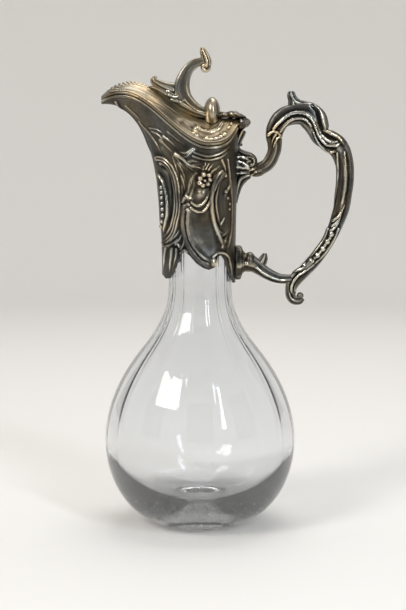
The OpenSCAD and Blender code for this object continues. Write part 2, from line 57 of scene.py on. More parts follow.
GRID = 0.82
COLLAR_X, COLLAR_R, COLLAR_WALL = -0.8, 23.4, 1.4
MOUTH_X, MOUTH_HALF_W, MOUTH_BACK = 4.9, 24.6, 20.5
SPOUT_REACH, SPOUT_PINCH, SPOUT_RISE, SPOUT_ARC = 66.8, 0.55, 32.4, 109.5
SIDE_Z, BACK_RISE, HEM_Z, REAR_LAPPET = 238.2, 16.4, 174.7, 19.7
SEAM, LID_REST, LID_SEAT, LID_OVER = 0.2, 0.4, 0.4, 0.3
RIM_H, RIM_W, LID_T, RIDGE_H = 1.8, 2.5, 1.4, 16.8
BELLY_R, BELLY_Z, BASE_R, BASE_T = 60.9, 53.7, 19.7, 7.4
SHOULDER_R, SHOULDER_Z, NECK_R, NECK_Z, LIP_Z = 36.9, 113.2, 20.2, 152.5, 219.8
NECK_WALL, BELLY_WALL = 1.9, 2.6
HANDLE_X, HANDLE_Z = COLLAR_X + COLLAR_R, SIDE_Z
BRACKET_Z = HANDLE_Z - 87.3 * GRID
HINGE_X, HINGE_Z = MOUTH_X + MOUTH_BACK + 3.8, SIDE_Z + BACK_RISE + 1.0
KNUCKLE_R, KNUCKLE_L, KNUCKLE_GAP = 2.5, 3.8, 0.2

# ---------- sizes of the looks alone, in millimetres ----------

FLUTE_RIB = 0.45
BORDER_R, BORDER_SEAT, BORDER_RINGS = 0.55, 0.965, 420
COLLAR_ROWS, COLLAR_COLUMNS, WALL_ROWS = 224, 400, 14
LID_ROWS, LID_COLUMNS = 300, 121

# ---------- the photograph's camera ----------

PHOTO_W, PHOTO_H = 406, 610
EYE_DISTANCE, EYE_PITCH = 820.0, np.radians(5.5)
AIM_Z, AXIS_PX, AIM_PY = 140.2, 200.0, 305.0
PIXEL = 0.6396
SENSOR = 36.0


def photo_place(p):
    """Pixels of points: their offsets sideways and upward from the aim, over their depth."""
    x, y, z = p[..., 0], p[..., 1], p[..., 2] - AIM_Z
    depth = 1 + (y * np.cos(EYE_PITCH) - z * np.sin(EYE_PITCH)) / EYE_DISTANCE
    up = y * np.sin(EYE_PITCH) + z * np.cos(EYE_PITCH)
    return np.stack([AXIS_PX + x / (PIXEL * depth), AIM_PY - up / (PIXEL * depth)], -1)


def middle_plane(pixels):
    """Places [x, z] in the jug's middle plane that the camera sees at the given pixels."""
    px, py = np.asarray(pixels, float).T
    up = (AIM_PY - py) * PIXEL
    z = up / (np.cos(EYE_PITCH) + up * np.sin(EYE_PITCH) / EYE_DISTANCE)
    x = (px - AXIS_PX) * PIXEL * (1 - z * np.sin(EYE_PITCH) / EYE_DISTANCE)
    return np.stack([x, z + AIM_Z], -1)


# ---------- curves and grids ----------


def mix(a, b, f):
    return a + (b - a) * f


def bump(x):
    """1 at 0, falling as a cosine to 0 at 1 and beyond."""
    return np.where(np.abs(x) >= 1, 0.0, 0.5 + 0.5 * np.cos(np.pi * np.clip(x, -1, 1)))


def round_top(x):
    """A half circle: the root of 1 less x squared, and 0 from 1 outwards."""
    return np.sqrt(np.clip(1 - x * x, 0, 1))


def signed_power(x, power):
    """The sign of x times its size to a power."""
    return np.sign(x) * np.abs(x) ** power


def bezier(a, b, c, d, s):
    return a * (1 - s) ** 3 + 3 * b * s * (1 - s) ** 2 + 3 * c * s**2 * (1 - s) + d * s**3


def unit(v):
    return v / np.maximum(np.linalg.norm(v, axis=-1, keepdims=True), 1e-9)


def through(stations, steps):
    """Stations and the cubic between each two of them, whose slopes come from their neighbours."""
    s = np.asarray(stations, float)
    last = len(s) - 1
    i = np.repeat(np.arange(last), steps)
    f = np.tile(np.arange(steps) / steps, last)[:, None]
    a, b, c, d = s[np.maximum(i - 1, 0)], s[i], s[np.minimum(i + 1, last)], s[np.minimum(i + 2, last)]
    second, third = 2 * a - 5 * b + 4 * c - d, 3 * b - a - 3 * c + d
    between = 0.5 * (2 * b + (c - a) * f + second * f**2 + third * f**3)
    return np.vstack([between, s[-1:]])


def outward(points, loop_columns=True):
    """Unit normals of a grid: the cross product of its slopes along its rows and its columns."""
    down, across = np.gradient(points, axis=0), np.gradient(points, axis=1)
    if loop_columns:
        across = np.roll(points, -1, 1) - np.roll(points, 1, 1)
    return unit(np.cross(across, down))


def blurred(h, reach, loop_columns=True):
    """The mean of a grid's values over a square of that many cells each way."""
    for axis, loop in ((0, False), (1, loop_columns)):
        pad = [(0, 0), (0, 0)]
        pad[axis] = (reach + 1, reach)
        total = np.cumsum(np.pad(h, pad, mode="wrap" if loop else "edge"), axis=axis)
        size = h.shape[axis]
        high = np.take(total, np.arange(2 * reach + 1, 2 * reach + 1 + size), axis)
        low = np.take(total, np.arange(size), axis)
        h = (high - low) / (2 * reach + 1)
    return h


# ---------- ornament ----------


def laid_on(points, normals, pixels):
    """The grid's places whose pixels lie nearest to the given ones, among those that face the camera."""
    eye = np.array([0, -EYE_DISTANCE * np.cos(EYE_PITCH), AIM_Z + EYE_DISTANCE * np.sin(EYE_PITCH)])
    faces_eye = np.sum(normals * (eye - points), -1) > 0
    near = points[faces_eye & (points[..., 1] <= 0.05)]
    seen = photo_place(near)
    nearest = [np.argmin(np.sum((seen - p) ** 2, -1)) for p in pixels]
    path = near[nearest]
    if len(path) > 4:
        path[1:-1] = (path[:-2] + 2 * path[1:-1] + path[2:]) / 4
    return path


def from_path(points, path):
    """Distance of each point from a polyline, and how far along it, as a share, its nearest place lies."""
    best = np.full(len(points), np.inf)
    share = np.zeros(len(points))
    for i, (a, b) in enumerate(zip(path[:-1], path[1:])):
        span = b - a
        f = np.clip((points - a) @ span / max(span @ span, 1e-9), 0, 1)
        d = np.linalg.norm(points - a - f[:, None] * span, axis=-1)
        closer = d < best
        best = np.where(closer, d, best)
        share = np.where(closer, (i + f) / (len(path) - 1), share)
    return best, share


def carved(points, normals, marks):
    """Heights of the ornament over a grid.

    A mark is (kind, pixels, width, height), the last two in millimetres. A ridge is a half round along its
    pixels, a reed two of them side by side, a leaf a ridge that tapers to its end, a groove a ridge cut
    inwards, a dish a wide soft swell along them or about a single one, and beads a round bump on each. Where
    raised marks cross, the highest counts. Dishes are added to them, and cuts are taken off.
    """
    near_side = points.reshape(-1, 3) * 1.0
    near_side[:, 1] = -np.abs(near_side[:, 1])
    raised = np.zeros(len(near_side))
    cut = np.zeros(len(near_side))
    for kind, pixels, width, height in marks:
        stroke = kind not in ("dish", "beads")
        path = laid_on(points, normals, through(pixels, 6) if stroke else np.asarray(pixels, float))
        reach = 1.3 * width
        inside = np.all((near_side > path.min(0) - reach) & (near_side < path.max(0) + reach), axis=-1)
        q = near_side[inside]
        if kind == "beads" or len(path) == 1:
            d = np.min([np.linalg.norm(q - c, axis=-1) for c in path], axis=0)
        else:
            d, share = from_path(q, path)
        if kind == "dish":
            shape = bump(d / width)
        elif kind == "beads":
            shape = round_top(d / width)
        else:
            taper = 1 - 0.85 * share if kind == "leaf" else 1.0
            shape = round_top(d / (width * taper)) * np.minimum(1, 0.35 + 4 * taper * (1 - share))
            if kind == "reed":
                shape = shape * (0.62 - 0.38 * np.cos(2 * np.pi * d / width))
        if height < 0 or kind == "groove":
            cut[inside] = np.maximum(cut[inside], np.abs(height) * shape)
        elif kind == "dish":
            raised[inside] += height * shape
        else:
            raised[inside] = np.maximum(raised[inside], height * shape)
    return (raised - cut).reshape(points.shape[:2])


# ---------- meshes ----------


def add_mesh(name, grid, painted_light_and_tarnish=None, loop_rows=False):
    """A closed mesh of a grid in millimetres, whose columns form rings. Rows that aren't looped are closed by
    a fan at each end. An attribute, -1 in the hollows to 1 on the high places, carries tarnish and painted
    shade at its low end and a painted highlight at its high end."""
    rows, columns = grid.shape[:2]
    vertices = grid.reshape(-1, 3)
    r = np.arange(rows if loop_rows else rows - 1)[:, None]
    c = np.arange(columns)[None, :]
    a, b = r * columns + c, r * columns + (c + 1) % columns
    d, e = (r + 1) % rows * columns + c, (r + 1) % rows * columns + (c + 1) % columns
    quads = np.stack([a, b, e, d], -1).reshape(-1, 4)
    fans = []
    if not loop_rows:
        middles = np.array([grid[0].mean(0), grid[-1].mean(0)])
        vertices = np.vstack([vertices, middles])
        k = np.arange(columns)
        start, end = rows * columns, rows * columns + 1
        fans = [np.stack([(k + 1) % columns, k, np.full(columns, start)], -1),
                np.stack([(rows - 1) * columns + k, (rows - 1) * columns + (k + 1) % columns,
                          np.full(columns, end)], -1)]
    triangles = np.vstack(fans) if fans else np.zeros((0, 3), int)
    halves = np.vstack([quads[:, [0, 1, 2]], quads[:, [0, 2, 3]], triangles])
    p = vertices[halves]
    if np.sum(p[:, 0] * np.cross(p[:, 1], p[:, 2])) < 0:
        quads, triangles = quads[:, ::-1], triangles[:, ::-1]
    mesh = bpy.data.meshes.new(name)
    mesh.from_pydata((vertices * MM).tolist(), [], quads.tolist() + triangles.tolist())
    mesh.polygons.foreach_set("use_smooth", np.ones(len(mesh.polygons), bool))
    values = np.zeros(len(vertices), np.float32)
    if painted_light_and_tarnish is not None:
        values[:painted_light_and_tarnish.size] = np.clip(painted_light_and_tarnish, -1, 1).ravel()
    mesh.attributes.new("painted_light_and_tarnish", "FLOAT", "POINT").data.foreach_set("value", values)
    mesh.validate()
    mesh.update()
    piece = bpy.data.objects.new(name, mesh)
    bpy.context.scene.collection.objects.link(piece)
    return piece


def dressed(piece, body, finish, node):
    """Puts a piece in place of a node: it rides on the node's body and has a finish."""
    piece.data.materials.append(finish_named(finish))
    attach(piece, body)
    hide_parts(node)


# ---------- the collar's and the lid's surfaces, by the angle from the back ----------


def ahead(a):
    return np.maximum(0, -np.cos(a))


def behind(a):
    return np.maximum(0, np.cos(a))


def rim_xy(a):
    """The mouth from above: half an ellipse behind, and before it a spout whose width falls with the square
    of the way along it."""
    x = MOUTH_X + MOUTH_BACK * behind(a) - SPOUT_REACH * ahead(a)
    return x, MOUTH_HALF_W * np.sin(a) * (1 - SPOUT_PINCH * ahead(a) ** 2)


def rim_z(a):
    """The mouth's edge: an arch of a sine over the spout, and a steep rise to the hinge."""
    arch = np.sin(np.radians(SPOUT_ARC) * ahead(a))
    return SIDE_Z + SPOUT_RISE * arch**1.8 + BACK_RISE * behind(a) ** 3.2


HEM_PIXELS = [(163, 275), (166, 278.6), (169, 278.4), (172, 275), (174, 270), (176.6, 262), (180, 255),
              (184, 251), (190, 256), (196, 263), (203, 268), (209, 270), (214.5, 267.5), (216.5, 262),
              (218, 256.5), (222, 255), (225, 259), (228, 268), (231, 277), (234, 281)]


def on_tube(pixels):
    """Angle and height of pixels on the near side of the collar's tube, found in a few rounds."""
    px, py = np.asarray(pixels, float).T
    y = np.full(len(px), -COLLAR_R * 0.7)
    z = np.zeros(len(px))
    for _ in range(8):
        depth = 1 + (y * np.cos(EYE_PITCH) - z * np.sin(EYE_PITCH)) / EYE_DISTANCE
        x = (px - AXIS_PX) * PIXEL * depth
        z = ((AIM_PY - py) * PIXEL * depth - y * np.sin(EYE_PITCH)) / np.cos(EYE_PITCH)
        y = -np.sqrt(np.clip(COLLAR_R**2 - (x - COLLAR_X) ** 2, 1, None))
    return np.arctan2(-y, x - COLLAR_X), z + AIM_Z


def hem(a):
    """The lower edge: heights of the photographed outline by the angle from the back, level at its ends."""
    angle, height = on_tube(HEM_PIXELS)
    order = np.argsort(angle)
    from_back = np.pi - np.abs(a % (2 * np.pi) - np.pi)
    rear_z = HEM_Z - REAR_LAPPET
    return np.interp(from_back, np.concatenate([[0, 0.25], angle[order]]),
                     np.concatenate([[rear_z, rear_z], height[order]]))


def collar(a, t):
    """The plain outer surface, from a circle at the hem to the mouth's outline.
    Its height follows a cubic curve that lifts the spout late, and its outline opens with the cube of t."""
    q, low, high = ahead(a), hem(a), rim_z(a)
    z = bezier(low, mix(low, high, mix(0.333, 0.683, q)), mix(low, high, mix(0.667, 1.015, q)), high, t)
    h = 0.78 * t**2 * (1 - t) + t**3
    x, y = rim_xy(a)
    tube_x, tube_y = COLLAR_X + COLLAR_R * np.cos(a), COLLAR_R * np.sin(a)
    return np.stack([mix(tube_x, x, h), mix(tube_y, y, h), z], -1)


def rim_out(a):
    """Level directions out of the mouth, at right angles to its outline."""
    step = 0.01
    x0, y0 = rim_xy(a - step)
    x1, y1 = rim_xy(a + step)
    return unit(np.stack([y1 - y0, x0 - x1, np.zeros_like(a)], -1))


def rim_middle(a):
    """The middle of the collar's wall along the mouth's edge."""
    x, y = rim_xy(a)
    return np.stack([x, y, rim_z(a)], -1) - rim_out(a) * COLLAR_WALL / 2


def lid_half(a):
    """Half the lid's width: the mouth's, and what the lid stands over it."""
    return np.sin(a) * (MOUTH_HALF_W * (1 - SPOUT_PINCH * ahead(a) ** 2) + LID_OVER)


def lid_top(x, y):
    """The lid's height over a place: its edge, and a hollow flank up to a ridge, low at the nose and level
    behind, that rises with the power of 1.5 of the share from the edge."""
    back = x > MOUTH_X
    c = (x - MOUTH_X) / (np.where(back, MOUTH_BACK, SPOUT_REACH) + LID_OVER)
    w = np.abs(y) / (MOUTH_HALF_W + LID_OVER)
    a = np.where(back, np.arctan2(w, c), np.arccos(np.clip(c, -0.9985, 0)))
    v = np.where(back, np.hypot(c, w), np.abs(y) / np.maximum(lid_half(a), 1e-6))
    edge = rim_z(a) + SEAM + RIM_H + LID_REST
    ridge = np.where(back, RIDGE_H - (rim_z(a) - SIDE_Z), RIDGE_H * (1 - 0.93 * ahead(a) ** 1.7))
    v = np.clip(v, 0, 0.995)
    return edge + LID_T + ridge * ((1 - np.sqrt(v * v + 0.01)) / 0.9 + 0.0055 * v) ** 1.5


# ---------- swept castings ----------


def placed(table, x0, z0, width, steps):
    """Stations along a casting: [x, z, thickness, width], from a table on the drawing's grid."""
    t = through(table, steps)
    return np.stack([x0 + GRID * t[:, 0], z0 + GRID * t[:, 1], GRID * t[:, 2], width * t[:, 3]], -1)


def drawn(table):
    """Stations of a casting from rows of the photograph's pixel, the thickness in pixels and the width."""
    t = through(table, 12)
    return np.hstack([middle_plane(t[:, :2]), t[:, 2:3] * PIXEL, t[:, 3:4]])


def swept(stations, window, sides, over_lid=False):
    """Rings across a path in the jug's middle plane: thickness along its normal, width across the jug. Its
    way is taken between stations a window off each way, and over the lid no ring dips into it."""
    i = np.arange(len(stations))
    before, after = stations[np.maximum(i - window, 0)], stations[np.minimum(i + window, len(stations) - 1)]
    way = unit(after[:, :2] - before[:, :2])
    b = 2 * np.pi * np.arange(sides) / sides
    c = signed_power(np.cos(b), 0.8)[None, :] * stations[:, 2:3] / 2
    x = stations[:, 0:1] - way[:, 1:2] * c
    y = np.sin(b)[None, :] * stations[:, 3:4] / 2
    z = stations[:, 1:2] + way[:, 0:1] * c
    if over_lid:
        z = np.maximum(z, lid_top(x, y) + LID_SEAT)
    return np.stack([x, y, z], -1)


def casting(name, stations, window, profile, marks=(), sides=72, over_lid=False):
    """A swept casting whose skin is raised by its marks and by its profile: a function of the share along
    it, of the place across it (-1 inside the bend to 1 outside) and of how far it faces sideways."""
    base = swept(stations, window, sides, over_lid)
    normals = outward(base)
    if np.sum(normals[:, 0] * (base[:, 0] - base.mean(1))) < 0:
        normals = -normals
    s = np.linspace(0, 1, len(stations))[:, None]
    b = 2 * np.pi * np.arange(sides) / sides
    h = profile(s, np.cos(b)[None, :], np.abs(np.sin(b))[None, :])
    h = h + carved(base, normals, marks) if marks else h * np.ones(base.shape[:2])
    size = np.minimum(stations[:, 2:3], stations[:, 3:4])
    h = h * np.clip(size / 6, 0.1, 1)
    # Painted highlight on the high places of the carving and profile, tarnish with painted shade in their
    # hollows.
    painted_light_and_tarnish = (h - blurred(h, max(2, sides // 24))) * 3.2
    return add_mesh(name, base + normals * h[..., None], painted_light_and_tarnish)


def lobed(s, c, side):
    """Three soft lobes side by side along a leaf."""
    return 0.3 * np.cos(c * 8) * side


def leaf(name, table):
    """A small lobed leaf, drawn in the photograph's pixels."""
    return casting(name, drawn(table), 12, lobed, sides=40)


def volute(name, middle, radius, half_width, sweep=1.5, low=None):
    """A disc across the jug with round edges, whose faces carry a spiral ridge of that many turns to its
    eye, or with no turns a smooth egg. It stays above low, a function of x and y, where that is given."""
    u = np.linspace(0.01, np.pi - 0.01, 80)[:, None]
    w = np.linspace(0, 2 * np.pi, 96, endpoint=False)[None, :]
    face = signed_power(np.cos(u), 0.35 if sweep else 1)
    share = np.sin(u) ** (0.8 if sweep else 1)
    spiral = np.cos(2 * np.pi * (sweep * share - w / (2 * np.pi))) * bool(sweep)
    carving = 0.35 * spiral * np.clip(share / 0.25, 0, 1) * np.clip((1 - share) / 0.1, 0, 1)
    rx, rz = np.broadcast_to(radius, 2)
    x, z = middle[0] + rx * share * np.cos(w), middle[1] + rz * share * np.sin(w)
    y = half_width * face + np.sign(face) * carving
    if low is not None:
        z = np.maximum(z, low(x, y) + LID_SEAT)
    # Painted highlight on the spiral ridge and the rounded edge, painted shade between the turns; an egg is a
    # little lighter all over.
    return add_mesh(name, np.stack([x, y, z], -1), 2.4 * carving + (0.2 * (share > 0.93) if sweep else 0.25))


def knuckle_row(name, numbers, up):
    """Knuckles with round edges: rings about the hinge's axis, each on a web that comes from above (up = 1)
    or below (up = -1). Their numbers count across the jug from one end."""
    pitch = KNUCKLE_L + KNUCKLE_GAP
    rise, thick = (1.0, 2.6) if up > 0 else (0.5, 4.4)
    web = through([(HINGE_X - 4.6, HINGE_Z + up * rise * 4.6, thick, 3.6),
                   (HINGE_X - 2.4, HINGE_Z + up * rise * 3.6, thick, 3.6),
                   (HINGE_X - 0.6, HINGE_Z + up * rise * 1.6, 3, 3.6)], 8)
    w = np.linspace(0, 2 * np.pi, 64, endpoint=False)[None, :]
    along = np.array([-1, -1, -0.97, -0.88, 0.88, 0.97, 1, 1])[:, None] * KNUCKLE_L / 2
    r = (KNUCKLE_R - np.array([1.55, 0.3, 0.08, 0, 0, 0.08, 0.3, 1.55]))[:, None]
    pieces = []
    for i in numbers:
        middle = (i - 2) * pitch
        grid = np.stack([HINGE_X + r * np.cos(w), middle + along + 0 * w, HINGE_Z + r * np.sin(w)], -1)
        # The knuckles are lighter on their barrels, a painted highlight, and darker at their rounded ends
        # between each other, painted shade.
        painted_light_and_tarnish = np.broadcast_to(0.35 - 0.9 * (r < KNUCKLE_R - 1), grid.shape[:2])
        pieces.append(add_mesh(f"{name}_{i}", grid, painted_light_and_tarnish))
        grid = swept(web, 4, 24) + [0, middle, 0]
        pieces.append(add_mesh(f"{name}_web_{i}", grid, np.full(grid.shape[:2], -0.1)))
    return pieces


# ---------- settings ----------


class ClaretJugSettings(bpy.types.PropertyGroup):
    flutes: bpy.props.IntProperty(
        name="Flutes", description="Number of flutes inside the glass", default=16, min=6, max=32)
    flute_strength: bpy.props.FloatProperty(
        name="Flute strength", description="How flat the panels between the flutes' edges are",
        default=0.9, min=0, max=1, subtype="FACTOR")
    relief: bpy.props.FloatProperty(
        name="Relief", description="Height of the collar's ornament, as a share of the full one",
        default=1.0, min=0, max=1.5, subtype="FACTOR")
    glass_tint: bpy.props.FloatVectorProperty(
        name="Glass", description="Tint of the glass", subtype="COLOR", size=3, default=(0.93, 0.94, 0.95))
    # The hollows' colour: tarnish with painted shade.
    recess: bpy.props.FloatVectorProperty(
        name="Recess", description="Tarnish in the hollows", subtype="COLOR", size=3,
        default=(0.012, 0.011, 0.009))
    plain: bpy.props.FloatVectorProperty(
        name="Plate", description="Plate on the plain places", subtype="COLOR", size=3,
        default=(0.115, 0.106, 0.089))
    # The colour of the high places: a painted highlight.
    worn: bpy.props.FloatVectorProperty(
        name="Highlight plate", description="Plate on the high places", subtype="COLOR", size=3,
        default=(0.68, 0.62, 0.5))
    # The lid's plain places: lighter and warmer than the collar's plate.
    lid_tone: bpy.props.FloatVectorProperty(
        name="Lid", description="Warm tarnish of the lid", subtype="COLOR", size=3,
        default=(0.38, 0.32, 0.225))
    backdrop: bpy.props.FloatVectorProperty(
        name="Backdrop", description="Floor and backdrop", subtype="COLOR", size=3,
        default=(0.8, 0.785, 0.76))


# ---------- materials ----------


def new_surface(name, kind="ShaderNodeBsdfPrincipled"):
    """A new material with one shader on its surface: the material, its nodes, its links and the shader."""
    material = bpy.data.materials.new(name)
    material.use_nodes = True
    nodes, links = material.node_tree.nodes, material.node_tree.links
    nodes.clear()
    shader = nodes.new(kind)
    links.new(shader.outputs[0], nodes.new("ShaderNodeOutputMaterial").inputs["Surface"])
    return material, nodes, links, shader


def matt(name, colour):
    """A plain matt material."""
    material, _, _, shader = new_surface(name, "ShaderNodeBsdfDiffuse")
    shader.inputs["Color"].default_value = (*colour, 1)
    return material


def ramp(nodes, stops):
    """A colour ramp through (place, colour) stops."""
    node = nodes.new("ShaderNodeValToRGB")
    elements = node.color_ramp.elements
    while len(elements) < len(stops):
        elements.new(0.5)
    for element, (place, colour) in zip(elements, stops):
        element.position = place
        element.color = (*colour, 1)
    return node


def noise(nodes, links, coordinates, scale, detail=3.0):
    node = nodes.new("ShaderNodeTexNoise")
    node.inputs["Scale"].default_value = scale
    node.inputs["Detail"].default_value = detail
    links.new(coordinates, node.inputs["Vector"])
    return node.outputs["Fac"]


def math_node(nodes, links, operation, *values):
    """The result of an operation on outputs of other nodes and on numbers."""
    node = nodes.new("ShaderNodeMath")
    node.operation = operation
    for socket, value in zip(node.inputs, values):
        if isinstance(value, float):
            socket.default_value = value
        else:
            links.new(value, socket)
    return node.outputs[0]


def risen(nodes, links, value, start, end, top=1.0):
    """0 where a value is at its start, rising evenly to the top at its end, and level beyond."""
    node = nodes.new("ShaderNodeMapRange")
    for socket, number in (("From Min", start), ("From Max", end), ("To Max", top)):
        node.inputs[socket].default_value = number
    links.new(value, node.inputs["Value"])
    return node.outputs[0]


def plate(name, recess, plain, worn, roughness):
    """Aged silver plate, coloured by an attribute: dark where it is low, tarnish and painted shade in the
    hollows, and bright where it is high, a painted highlight; blotched by noise, with roughness that falls as
    the plate is polished by use and a fine cast grain."""
    material, nodes, links, shader = new_surface(name)
    place = nodes.new("ShaderNodeTexCoord").outputs["Object"]
    painted_light_and_tarnish = nodes.new("ShaderNodeAttribute")
    painted_light_and_tarnish.attribute_name = "painted_light_and_tarnish"
    fine = noise(nodes, links, place, 420.0)
    level = 0.06
    for source, share in ((painted_light_and_tarnish.outputs["Fac"], 0.5), (noise(nodes, links, place, 70.0), 0.5), (fine, 0.22)):
        level = math_node(nodes, links, "MULTIPLY_ADD", source, share, level)
    # The ramp runs from tarnish and painted shade, through the plain plate, to the painted highlight colour.
    dull, bright = mix(np.array(recess), np.array(plain), 0.45), mix(np.array(plain), np.array(worn), 0.5)
    colours = ramp(nodes, [(0.0, recess), (0.3, dull), (0.5, plain), (0.72, bright), (1.0, worn)])
    links.new(level, colours.inputs["Fac"])
    hues = ramp(nodes, [(0.36, (1.12, 1.0, 0.82)), (0.5, (1.0, 1.0, 1.0)), (0.62, (0.88, 0.97, 1.1))])
    links.new(noise(nodes, links, place, 38.0), hues.inputs["Fac"])
    tinted = nodes.new("ShaderNodeMix")
    tinted.data_type, tinted.blend_type = "RGBA", "MULTIPLY"
    tinted.inputs[0].default_value = 1.0
    links.new(colours.outputs["Color"], tinted.inputs[6])
    links.new(hues.outputs["Color"], tinted.inputs[7])
    rough = ramp(nodes, [(0.0, (0.55,) * 3), (0.5, (roughness + 0.05,) * 3), (1.0, (roughness - 0.08,) * 3)])
    links.new(level, rough.inputs["Fac"])
    grain = nodes.new("ShaderNodeBump")
    grain.inputs["Strength"].default_value = 0.25
    grain.inputs["Distance"].default_value = 0.0002
    links.new(fine, grain.inputs["Height"])
    shader.inputs["Metallic"].default_value = 1.0
    links.new(tinted.outputs[2], shader.inputs["Base Color"])
    links.new(rough.outputs["Color"], shader.inputs["Roughness"])
    links.new(grain.outputs["Normal"], shader.inputs["Normal"])
    return material


def clear_glass(name, tint):
    """Clear glass, roughened by a lime haze in fine specks low in the bowl."""
    material, nodes, links, shader = new_surface(name)
    place = nodes.new("ShaderNodeTexCoord").outputs["Object"]
    split = nodes.new("ShaderNodeSeparateXYZ")
    links.new(place, split.inputs[0])
    low = risen(nodes, links, split.outputs["Z"], 0.055, 0.02)
    specks = risen(nodes, links, noise(nodes, links, place, 700.0, 2.0), 0.52, 0.68, 0.3)
    shader.inputs["Base Color"].default_value = (*tint, 1)
    shader.inputs["Transmission Weight"].default_value = 0.95
    shader.inputs["IOR"].default_value = 1.5
    links.new(math_node(nodes, links, "MULTIPLY", low, specks), shader.inputs["Roughness"])
    return material


def plaster_finish(name):
    """Matt plaster in two mottled tones."""
    material, nodes, links, shader = new_surface(name)
    place = nodes.new("ShaderNodeTexCoord").outputs["Object"]
    colours = ramp(nodes, [(0.3, (0.5, 0.46, 0.39)), (0.7, (0.66, 0.62, 0.54))])
    links.new(noise(nodes, links, place, 160.0), colours.inputs["Fac"])
    shader.inputs["Roughness"].default_value = 0.9
    links.new(colours.outputs["Color"], shader.inputs["Base Color"])
    return material


def finish_named(name):
    """The material of that name, made once from the settings."""
    if name in bpy.data.materials:
        return bpy.data.materials[name]
    s = bpy.context.scene.claret_jug
    recess, plain, worn, lid_tone = (tuple(c) for c in (s.recess, s.plain, s.worn, s.lid_tone))
    if name == "fluted glass":
        return clear_glass(name, tuple(s.glass_tint))
    if name == "neck plaster":
        return plaster_finish(name)
    # Each finish: the hollows' tarnish with painted shade, the plain plate, the painted highlight on the high
    # places, and a roughness.
    hollow_plain_highlight_roughness = {
        "silver plate": (recess, plain, worn, 0.3),
        "lid plate": ((0.03, 0.026, 0.02), lid_tone, (0.8, 0.72, 0.55), 0.27),
        "scroll plate": ((0.05, 0.045, 0.037), (0.2, 0.18, 0.145), (0.75, 0.67, 0.5), 0.27),
        "inner plate": (recess, (0.09, 0.083, 0.07), (0.3, 0.28, 0.24), 0.42),
        "pin wire": ((0.05, 0.047, 0.045), (0.3, 0.29, 0.29), (0.6, 0.58, 0.58), 0.3)}
    return plate(name, *hollow_plain_highlight_roughness[name])


# ---------- marks on the castings, in the photograph's pixels ----------

